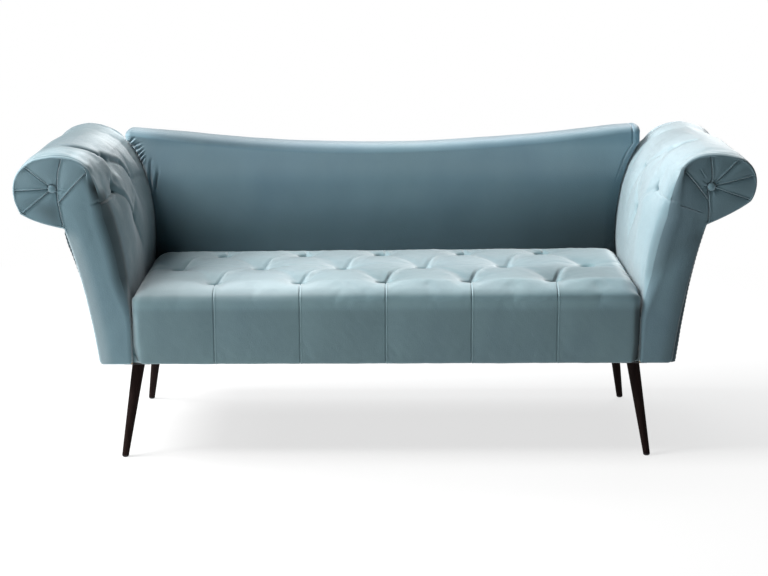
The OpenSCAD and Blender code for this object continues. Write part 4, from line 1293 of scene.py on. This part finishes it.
# %% The back's front, roll and top
READ_BEHIND = 0.016
TOP_DROP = 0.006
END_HALF = {1: 0.6815, -1: 0.6955}
ROLL_STEPS, TOP_STEPS = 17, 8
across = stations(-1, 1, 0.0045 / BACK_HALF, 0.0012 / BACK_HALF, [-1, 1], 0.05)
up = stations(0, 1, 0.0075, 0.0030, [1.0], 0.34)
share_x, share_z = np.meshgrid(across, up, indexing="ij")
roll_foot = top_z(share_x * BACK_HALF) - ROLL_R
front_z = Z_FOOT + (roll_foot - Z_FOOT) * share_z
front_y = Y_BACK_FOOT + BACK_LEAN * share_z
half_here = [arm_side_x(front_z[:, k], front_y[0, k] - Y_FACE + READ_BEHIND) for k in range(len(up))]
half_here = np.minimum(np.stack(half_here, axis=1), np.where(share_x < 0, END_HALF[-1], END_HALF[1]))
front_x = share_x * half_here
turn = np.linspace(0, math.pi / 2, ROLL_STEPS + 1)[1:]
roll_z = roll_foot[:, -1:] + ROLL_R * np.sin(turn)[None]
roll_y = front_y[:, -1:] + ROLL_DEPTH * (1 - np.cos(turn))[None]
top_y = np.linspace(0, 1, TOP_STEPS + 1)[1:][None] * (Y_PANEL - roll_y[:, -1:]) + roll_y[:, -1:]
drop = TOP_DROP * np.linspace(0, 1, TOP_STEPS)[None] ** 2


def carried_on(grid):
    """A grid of the front, with its last column repeated over the roll and the top."""
    return np.hstack([grid, np.repeat(grid[:, -1:], ROLL_STEPS + TOP_STEPS, axis=1)])


cover_z = np.hstack([front_z, roll_z, np.repeat(roll_z[:, -1:], TOP_STEPS, axis=1) - drop])
back = np.stack([carried_on(front_x), np.hstack([front_y, roll_y, top_y]), cover_z], axis=2)
print("back cover: %d by %d points" % back.shape[:2])

# %% [markdown]
# The cover is drawn round the left end in small gathers, with two long folds below them, and the
# right end has a seam. Cloth held at its border gives the front its slight fullness.

# %% The back's gathers and fullness
END_R = {1: 0.012, -1: 0.018}
end_d = carried_on((1 - np.abs(share_x)) * half_here)
on_left = carried_on(share_x) < 0
bulge = np.sin(math.pi * np.clip((cover_z - Z_FOOT - 0.05) / (CORNER_Z - Z_FOOT), 0, 1))
height = 0.006 * bulge * smooth(end_d, 0, 0.18)
height = height - np.where(on_left, quarter_turn(END_R[-1], end_d), quarter_turn(END_R[1], end_d))
height -= 0.0030 * np.exp(-((end_d - 0.020) / 0.0022) ** 2) * ~on_left * smooth(cover_z, 0.60, 0.66)
at_x, at_z = back[:, :, 0], back[:, :, 2]
GATHERS = [
    ((-0.6860, 0.7162), (-0.6654, 0.7340)), ((-0.6800, 0.7070), (-0.6488, 0.7200)),
    ((-0.6727, 0.6954), (-0.6442, 0.7119)), ((-0.6664, 0.6832), (-0.6426, 0.7040)),
    ((-0.6600, 0.6737), (-0.6403, 0.6946)), ((-0.6537, 0.6629), (-0.6421, 0.6811))]
LONG_FOLDS = [
    [(-0.6245, 0.5880), (-0.6310, 0.6240), (-0.6290, 0.6600), (-0.6200, 0.6900)],
    [(-0.6190, 0.5800), (-0.6150, 0.6150), (-0.6085, 0.6400), (-0.6060, 0.6700)]]
for start, end in GATHERS:
    height += crease(at_x, at_z, start, end, 0.0052, 0.0022, -0.0024, (0.0, 0.6))
for path in LONG_FOLDS:
    height += fold(at_x, at_z, path, 0.0065, 0.0034, 0.0036, (0.2, 0.8))
height += 0.0016 * ripple(at_x, at_z, scale=0.30, seed=8) * smooth(end_d, 0, 0.1)
back_out = normals(back)
if back_out[len(across) // 2, 20, 1] > 0:
    back_out = -back_out
back = back + back_out * height[:, :, None]
rows = np.linspace(0, len(across) - 1, 170).astype(int)
columns = np.linspace(0, len(up) - 1, 60).astype(int)
held = np.zeros((len(rows), len(columns)), bool)
held[[0, 1, -2, -1]] = held[:, [0, 1, -2, -1]] = True
moves = swell_cloth(back[np.ix_(rows, columns)], held, -PRESSURE, slack=0.005, most=0.006)
fine = soften(resample(moves, across[rows], up[columns], across, up), 3)
back[:, :len(up)] += fine * (1 - smooth(up, 0.55, 0.95))[None, :, None]
back[:, :, 1] = np.minimum(back[:, :, 1], Y_PANEL - 0.0005)
print("back folds:", len(GATHERS) + len(LONG_FOLDS))

# %% [markdown]
# Each end of the pad is closed by a wall that runs back beside the arm and keeps a small gap to
# it. Inside, the pad ends on the webbing. Painted shade darkens the rolled top towards the left and
# the foot towards the right, and a painted highlight leaves the upper left corner pale.

# %% Back pad
WALL_STEPS = 7
BACK_FRAME_D = 0.068
to_panel = np.linspace(0, 1, WALL_STEPS + 1)[1:]


def end_wall(edge, side):
    """Rows from the rounded edge to the outer panel, held against the arm pad all the way."""
    rows = []
    for f in to_panel:
        row = edge.copy()
        row[:, 1] += (Y_PANEL - 0.0005 - row[:, 1]) * f
        reach = [arm_side_x(z, depth) for z, depth in zip(row[:, 2], row[:, 1] - Y_FACE)]
        row[:, 0] = side * np.minimum(reach, END_HALF[side])
        rows.append(row)
    return np.stack(rows)


back = np.concatenate([end_wall(back[0], -1)[::-1], back, end_wall(back[-1], 1)])
share_x, share_z = np.meshgrid(across * 0.985, np.linspace(0, 1, 40), indexing="ij")
lining_z = Z_FOOT + (top_z(share_x * BACK_HALF) - ROLL_R - Z_FOOT) * share_z
lining_x = share_x * np.minimum(arm_side_x(lining_z, Y_PANEL - BACK_FRAME_D - Y_FACE), BACK_HALF)
lining_y = np.where(share_z > 0.93, Y_PANEL - 0.0008, Y_PANEL - BACK_FRAME_D)
inner = np.stack([lining_x, lining_y, lining_z], axis=2)
inner_ends = [np.repeat(inner[k:k + 1], WALL_STEPS, axis=0) for k in (0, len(across) - 1)]
for rows in inner_ends:
    rows[:, :, 1] += (Y_PANEL - 0.0008 - rows[:, :, 1]) * to_panel[:, None]
inner = np.concatenate([inner_ends[0][::-1], inner, inner_ends[1]])
back_piece = loft("back_pad_velvet", back, inner)
back_piece.data.materials.append(BACK_VELVET)
at_x, at_z = back[:, :, 0], back[:, :, 2]
# Painted light on the back: painted shade over the rolled top towards the left and on the foot towards the
# right, and a painted highlight just under the roll and at the upper left corner.
rolled = smooth(at_z - top_z(at_x), -0.022, -0.006)
back_painted_light = 0.45 * rolled * smooth(at_x, 0.1, -0.5)
back_painted_light = back_painted_light - 0.22 * band(at_z, 0.60, 0.06, 0.70, 0.03) * (1 - rolled)
back_painted_light = back_painted_light + 0.03 + 0.09 * rolled + 0.15 * smooth(at_z, 0.56, 0.46)
back_painted_light = back_painted_light + 0.2 * smooth(at_z, 0.60, 0.48) * smooth(at_x, 0.3, 0.6)
corner = np.hypot((at_x + 0.665) / 0.05, (at_z - 0.72) / 0.035)
back_painted_light = back_painted_light - 0.35 * np.exp(-corner ** 2)
lay_painted_light(back_piece, back_painted_light)
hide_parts("back_pad")
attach(back_piece, "root")
print("back pad faces:", len(back_piece.data.polygons))

# %% [markdown]
# The outsides are velvet over board. Each panel is drawn round its board's edges, so its border
# is rounded and its middle is a little full. The right arm's panel is stuffed more at its foot.

# %% Outside panels
OUT_BULGE = {
    1: ([0.0, 0.05, 0.30, 0.60, 0.85, 1.0], [0.0, 0.003, 0.005, 0.008, 0.011, 0.011]),
    -1: ([0.0, 0.04, 0.12, 0.30, 0.50, 1.0], [0.001, 0.006, 0.008, 0.004, 0.001, 0.001])}
PUCKER = 0.011


def outside_arm(side, word):
    """The outside panel of an arm: rounded at its borders and puckered by its hand stitches."""
    path = outer_bow(side)
    length = arc(path)[-1]
    s = np.linspace(0.001, length, 150)
    first, last = FACING_T + 0.0005, PAD_DEPTH - 0.0005
    d = stations(first, last, 0.007, 0.0016, [first, last], 0.03)
    base = at_length(path, s)
    out = left_of(base)
    D, S = np.meshgrid(d, s, indexing="ij")
    height = np.interp(S / length, *OUT_BULGE[side])
    height = height + 0.003 * smooth(D, first, 0.15) * smooth(last - D, 0, 0.15)
    height -= quarter_turn(0.007, D - first) + quarter_turn(0.007, last - D) + quarter_turn(0.004, length - S)
    near_edge = np.exp(-(D - first) / 0.010) + np.exp(-(last - D) / 0.010)
    height += 0.0007 * np.sin(2 * math.pi * S / PUCKER) * near_edge * smooth(D, first, first + 0.004)
    height += 0.0009 * ripple(S, D, scale=0.2, seed=50 + side)
    uv = base[None] + out[None] * height[:, :, None]
    core = (base - out * 0.005)[None] + 0 * D[:, :, None]
    grids = []
    for grid in (uv, core):
        above = np.maximum(grid[:, :, 1], 0.0)
        grids.append(np.stack([side * (ARM_X + grid[:, :, 0]), Y_FACE + D, UNDER + above], axis=2))
    piece = loft("arm_outer_panel_velvet_" + word, *grids)
    piece.data.materials.append(OUTSIDE_VELVET_SHADED)
    # Painted shade along the panel's front edge, beside the facing.
    lay_painted_light(piece, 0.6 * smooth(D, first + 0.03, first))
    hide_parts("arm_outer_panel_" + word)
    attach(piece, "root")
    return piece, grids[0]


panels = {side: outside_arm(side, word) for side, word in ((1, "right"), (-1, "left"))}
print("outside arm faces:", [len(panels[k][0].data.polygons) for k in panels])

# %% [markdown]
# The outside back follows its solid's own border, read from the frame: the edges where a flat
# rear face meets a side are walked in order, and the line is then spaced evenly. Its top is
# lowered by the same sag as the pad's, so the two meet along the whole width.


# %% Outside back
def outline_of(node):
    """The border of a node's flat rear face, as points in order."""
    piece = frame["nodes"][node]
    bm = bmesh.new()
    bm.from_mesh(piece.data)
    bm.transform(piece.matrix_world)
    rear = {f for f in bm.faces if f.normal.y > 0.99}
    steps = {}
    for edge in (e for e in bm.edges if sum(f in rear for f in e.link_faces) == 1):
        for one, other in (edge.verts, reversed(edge.verts)):
            steps.setdefault(one.index, []).append(other)
    at = next(iter(steps))
    walk, before = [at], None
    while True:
        onward = next(v for v in steps[walk[-1]] if v.index != before)
        if onward.index == at:
            break
        before = walk[-1]
        walk.append(onward.index)
    bm.verts.ensure_lookup_table()
    points = np.array([[bm.verts[i].co.x, bm.verts[i].co.z] for i in walk])
    bm.free()
    return points


border = outline_of("back_outer_panel")
border = np.vstack([border, border[:1]])
border = at_length(border, np.arange(0, arc(border)[-1] - 0.003, 0.006))
border[:, 1] -= (0.004 + np.interp(border[:, 0], *SAG)) * smooth(border[:, 1], 0.60, 0.66)
turning = border - border.mean(0)
if (turning[:-1, 0] * turning[1:, 1] - turning[:-1, 1] * turning[1:, 0]).sum() > 0:
    border = border[::-1]
border_out = left_of(np.vstack([border[-1:], border, border[:1]]))[1:-1]


def back_ring(depth):
    return border - border_out * quarter_turn(0.005, depth)


def back_height(points, rim_d):
    return low_crown(rim_d, 0.0025) + 0.0006 * ripple(*points.T, scale=0.3, seed=9)


def behind_back(p, depth):
    return (p[0], panel_hi.y - depth, p[1])


outside_back = close_panel(
    "back_outer_panel_velvet", back_ring, rounded_depths(panel_hi.y - panel_lo.y, 6), [],
    back_height, behind_back, 0.012)
outside_back.data.materials.append(OUTSIDE_VELVET_SHADED)
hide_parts("back_outer_panel")
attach(outside_back, "root")
print("outside back faces:", len(outside_back.data.polygons))

# %% [markdown]
# Hand stitches close the outside panels, and staples hold the cloth below. Both are short
# bars that follow a line, so one Geometry Nodes tree sets them all: it walks along the edges of
# a line, puts a bar at every step, turns it along the line, and shakes it a little by its seed.


# %% Bars along a line
def bar_tree():
    tree = bpy.data.node_groups.new("bars along a line", "GeometryNodeTree")
    face = tree.interface
    face.new_socket("Geometry", in_out="INPUT", socket_type="NodeSocketGeometry")
    sockets = {}
    for name, kind in (("Spacing", "Float"), ("Length", "Float"), ("Thickness", "Float"),
                       ("Shake", "Float"), ("Seed", "Int"), ("Material", "Material")):
        sockets[name] = face.new_socket(name, in_out="INPUT", socket_type="NodeSocket" + kind).identifier
    face.new_socket("Geometry", in_out="OUTPUT", socket_type="NodeSocketGeometry")

    def add(kind, **settings):
        node = tree.nodes.new(kind)
        for key, value in settings.items():
            setattr(node, key, value)
        return node

    start, end = add("NodeGroupInput"), add("NodeGroupOutput")
    curve = add("GeometryNodeMeshToCurve")
    steps = add("GeometryNodeResampleCurve", mode="LENGTH")
    size = add("ShaderNodeCombineXYZ")
    bar = add("GeometryNodeMeshCube")
    tangent = add("GeometryNodeInputTangent")
    turn = add("FunctionNodeAlignRotationToVector", axis="X")
    bars = add("GeometryNodeInstanceOnPoints")
    least = add("ShaderNodeMath", operation="MULTIPLY")
    least.inputs[1].default_value = -1.0
    chance = add("FunctionNodeRandomValue", data_type="FLOAT_VECTOR")
    euler = add("FunctionNodeEulerToRotation")
    shake = add("GeometryNodeRotateInstances")
    real = add("GeometryNodeRealizeInstances")
    paint = add("GeometryNodeSetMaterial")
    for one, out, other, into in (
            (start, "Geometry", curve, "Mesh"), (curve, "Curve", steps, "Curve"),
            (start, "Spacing", steps, "Length"), (start, "Length", size, "X"),
            (start, "Thickness", size, "Y"), (start, "Thickness", size, "Z"),
            (size, "Vector", bar, "Size"), (tangent, "Tangent", turn, "Vector"),
            (steps, "Curve", bars, "Points"), (bar, "Mesh", bars, "Instance"),
            (turn, "Rotation", bars, "Rotation"), (start, "Shake", least, 0),
            (least, "Value", chance, "Min"), (start, "Shake", chance, "Max"),
            (start, "Seed", chance, "Seed"), (chance, "Value", euler, "Euler"),
            (bars, "Instances", shake, "Instances"), (euler, "Rotation", shake, "Rotation"),
            (shake, "Instances", real, "Geometry"), (real, "Geometry", paint, "Geometry"),
            (start, "Material", paint, "Material"), (paint, "Geometry", end, "Geometry")):
        tree.links.new(one.outputs[out], other.inputs[into])
    return tree, sockets


BAR_TREE, BAR_SOCKETS = bar_tree()


def bars_along(name, lines, slot, **values):
    """Bars along each line of points, as one plain mesh."""
    verts, edges = [], []
    for line in lines:
        edges += [(len(verts) + k, len(verts) + k + 1) for k in range(len(line) - 1)]
        verts += [tuple(float(c) for c in point) for point in line]
    mesh = bpy.data.meshes.new(name + " line")
    mesh.from_pydata(verts, edges, [])
    guide = bpy.data.objects.new(name + " line", mesh)
    bpy.context.scene.collection.objects.link(guide)
    nodes = guide.modifiers.new("bars", "NODES")
    nodes.node_group = BAR_TREE
    for key, value in values.items():
        nodes[BAR_SOCKETS[key]] = value
    made = guide.evaluated_get(bpy.context.evaluated_depsgraph_get())
    piece = bpy.data.objects.new(name, bpy.data.meshes.new_from_object(made))
    bpy.context.scene.collection.objects.link(piece)
    bpy.data.objects.remove(guide)
    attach(piece, "root")
    return piece


print("bar inputs:", list(BAR_SOCKETS))

# %% [markdown]
# An outside panel is sewn down by hand after everything else, with small slanting stitches at
# its border. They follow the last row of points but one on the arms, and on the back a line just
# inside the rounded border.

# %% Hand stitches
stitch_lines = [panels[side][1][row, 4:-4] for side in panels for row in (1, -2)]
stitch_lines.append([(x, panel_hi.y - 0.0003, z) for x, z in (border - border_out * 0.0035)[3:-3]])
stitches = bars_along(
    "hand_stitches", stitch_lines, "outside_velvet", Spacing=PUCKER, Length=0.0035, Thickness=0.0006,
    Shake=0.12, Seed=4, Material=OUTSIDE_VELVET_SHADED)
print("stitches:", len(stitches.data.polygons) // 6)

# %% [markdown]
# The legs are turned and tapered wood, stained almost black. The grain runs along the leg, so
# the noise is stretched in height. Metal, timber and board inside get plain finishes too. Every
# solid that no softer piece replaces takes the finish of its slot.


# %% Hard finishes
def grained(name, dark, light, stretch, scale, rough, bump_height, metal=0.0, shine=0.5):
    """A finish of two shades along a stretched noise, with a fine bump of the same grain."""
    material = bpy.data.materials.new(name)
    material.use_nodes = True
    add, join = node_maker(material)
    grain = noise_bands(add, join, scale, 5.0, 0.35, 0.68, stretch=stretch)
    colour = blend(add, join, (grain, "Result"), linear(dark), linear(light))
    spread = add("ShaderNodeMapRange", **{"To Min": rough, "To Max": rough + 0.15})
    join(grain, "Result", spread, "Value")
    bump = add("ShaderNodeBump", Strength=0.3, Distance=bump_height)
    join(grain, "Result", bump, "Height")
    shader = add("ShaderNodeBsdfPrincipled", **{"Metallic": metal, "Specular IOR Level": shine})
    out = add("ShaderNodeOutputMaterial")
    join(colour, MIX_RESULT, shader, "Base Color")
    join(spread, "Result", shader, "Roughness")
    join(bump, "Normal", shader, "Normal")
    join(shader, "BSDF", out, "Surface")
    return material


FINISHES = {
    "leg_wood": grained("dark stained wood", "170D0C", "241816", (1, 1, 0.06), 140, 0.60, 0.0004, shine=0.08),
    "frame_timber": grained("planed softwood", "A98659", "C9A877", (0.06, 1, 1), 60, 0.6, 0.0003),
    "plywood": grained("sawn plywood", "B08F62", "CDB184", (0.3, 1, 0.3), 80, 0.65, 0.0003),
    "fibreboard": grained("hardboard", "6B4E33", "7C5C3F", (1, 1, 1), 200, 0.7, 0.0001),
    "webbing": grained("elastic webbing", "1B1B1B", "3A3A3A", (1, 1, 1), 500, 0.8, 0.0004),
    "dust_cloth": grained("non-woven cloth", "15161A", "24252B", (1, 1, 1), 700, 0.9, 0.0003),
    "zinc_steel": grained("zinc plated steel", "9A9C9C", "C4C6C6", (1, 1, 1), 90, 0.3, 0.0001, 1.0),
    "plate_steel": grained("black painted steel", "17181A", "242527", (1, 1, 1), 300, 0.42, 0.0001),
    "glide_plastic": grained("moulded plastic", "101010", "1C1C1C", (1, 1, 1), 250, 0.5, 0.0001),
    "outside_velvet": OUTSIDE_VELVET_SHADED,
}
slot_of = {part["node"]: part["material_slot"] for part in frame["record"]["subparts"]}
for node, piece in frame["nodes"].items():
    finish = FINISHES.get(slot_of[node])
    if finish:
        piece.data.materials.clear()
        piece.data.materials.append(finish)
print("hard finishes:", len(FINISHES))

# %% [markdown]
# The thin cloth below the frame is held by a staple every three centimetres or so, a little in
# from its border. The same tree sets them, along four straight lines.

# %% Staples
STAPLE_INSET = 0.008
cloth_lo, cloth_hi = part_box("dust_cover")
x_in = cloth_hi.x - STAPLE_INSET
y_in = (cloth_lo.y + STAPLE_INSET, cloth_hi.y - STAPLE_INSET)
STAPLED_X, STAPLED_Y = 0.56, 0.19
runs = [[(-STAPLED_X, y, cloth_lo.z), (STAPLED_X, y, cloth_lo.z)] for y in y_in]
runs += [[(x, -STAPLED_Y, cloth_lo.z), (x, STAPLED_Y, cloth_lo.z)] for x in (-x_in, x_in)]
staples = bars_along(
    "cover_staples", runs, "zinc_steel", Spacing=0.028, Length=0.010, Thickness=0.0008,
    Shake=0.08, Seed=6, Material=FINISHES["zinc_steel"])
print("staples:", len(staples.data.polygons) // 6)

# %% [markdown]
# The stage is a pale floor. It shows white to the camera and in gloss, and keeps the couch's
# shadow, because its own light is weaker close to the couch and full further away.


# %% Floor
def stage_floor():
    verts = [(-9, -7, 0), (9, -7, 0), (9, 12, 0), (-9, 12, 0)]
    piece = mesh_object("floor", np.array(verts, float), [(0, 1, 2, 3)])
    material = bpy.data.materials.new("white floor")
    material.use_nodes = True
    add, join = node_maker(material)
    lit = add("ShaderNodeBsdfDiffuse", Color=(0.86, 0.86, 0.86, 1))
    glow = add("ShaderNodeEmission", Color=(1, 1, 1, 1), Strength=1.0)
    mix = add("ShaderNodeMixShader")
    path = add("ShaderNodeLightPath")
    place = add("ShaderNodeTexCoord")
    away = add("ShaderNodeVectorMath", operation="LENGTH")
    fade = add("ShaderNodeMapRange", **{"From Min": 0.8, "From Max": 2.4, "To Min": 0.72, "To Max": 1.0})
    seen = add("ShaderNodeMath", operation="MAXIMUM")
    share_seen = add("ShaderNodeMath", operation="MULTIPLY")
    join(place, "Object", away, 0)
    join(away, "Value", fade, "Value")
    join(path, "Is Camera Ray", seen, 0)
    join(path, "Is Glossy Ray", seen, 1)
    join(seen, "Value", share_seen, 0)
    join(fade, "Result", share_seen, 1)
    join(share_seen, "Value", mix, "Fac")
    join(lit, "BSDF", mix, 1)
    join(glow, "Emission", mix, 2)
    out = add("ShaderNodeOutputMaterial")
    join(mix, "Shader", out, "Surface")
    piece.data.materials.append(material)


stage_floor()
print("floor ready")

# %% [markdown]
# Soft light shows padding best. The key is a large softbox at the upper left, a smaller one
# beside it lifts the left side, one behind draws the back's top, and a weak one in front fills
# the shadows. The world is white to the camera but gives the couch almost no light.


# %% Lights and world
def lamp(name, place, target, size, power, colour):
    light = bpy.data.lights.new(name, "AREA")
    light.shape = "RECTANGLE"
    light.size, light.size_y = size
    light.energy = power
    light.color = colour
    holder = bpy.data.objects.new(name, light)
    bpy.context.scene.collection.objects.link(holder)
    holder.location = place
    holder.rotation_euler = (Vector(target) - Vector(place)).to_track_quat("-Z", "Y").to_euler()


def white_world(strength):
    world = bpy.data.worlds.new("studio")
    bpy.context.scene.world = world
    world.use_nodes = True
    add, join = node_maker(world)
    soft = add("ShaderNodeBackground", Color=(0.97, 0.99, 1.0, 1), Strength=strength)
    white = add("ShaderNodeBackground", Color=(1, 1, 1, 1))
    path = add("ShaderNodeLightPath")
    mix = add("ShaderNodeMixShader")
    out = add("ShaderNodeOutputWorld")
    join(path, "Is Camera Ray", mix, "Fac")
    join(soft, "Background", mix, 1)
    join(white, "Background", mix, 2)
    join(mix, "Shader", out, "Surface")


white_world(0.03)
lamp("key softbox", (-3.0, -0.3, 3.6), (0.5, 0, 0.4), (1.8, 2.4), 320, (1.0, 1.0, 0.99))
lamp("side softbox", (-3.4, 1.0, 2.7), (0.5, 0, 0.4), (1.8, 1.8), 90, (1.0, 1.0, 1.0))
lamp("rear softbox", (0.0, 1.8, 2.4), (0, 0, 0.4), (3.6, 1.2), 52, (0.98, 0.99, 1.0))
lamp("front softbox", (-2.4, -3.6, 1.4), (0, 0, 0.4), (2.0, 2.0), 16, (0.96, 0.99, 1.0))

# %% [markdown]
# The camera stands where the photograph was taken from. Its lens, height and tilt were fitted
# to the feet, the seams and the arms, so the render can be laid over the photograph.

# %% Camera
CAMERA_LENS = 80.55
CAMERA_PLACE = (-0.0039, Y_FACE - 4.086, 1.375)
DOWNWARD, ROLLED = 13.06, -0.17
camera = bpy.data.cameras.new("photo camera")
camera.lens = CAMERA_LENS
camera.sensor_width = 36
view = bpy.data.objects.new("photo camera", camera)
bpy.context.scene.collection.objects.link(view)
view.location = CAMERA_PLACE
tilt = Matrix.Rotation(math.radians(90 - DOWNWARD), 3, "X")
view.rotation_euler = (tilt @ Matrix.Rotation(math.radians(ROLLED), 3, "Z")).to_euler()
bpy.context.scene.camera = view
bpy.context.scene.view_settings.view_transform = "Standard"
print("camera %.1f m in front of the arms" % (Y_FACE - view.location.y))
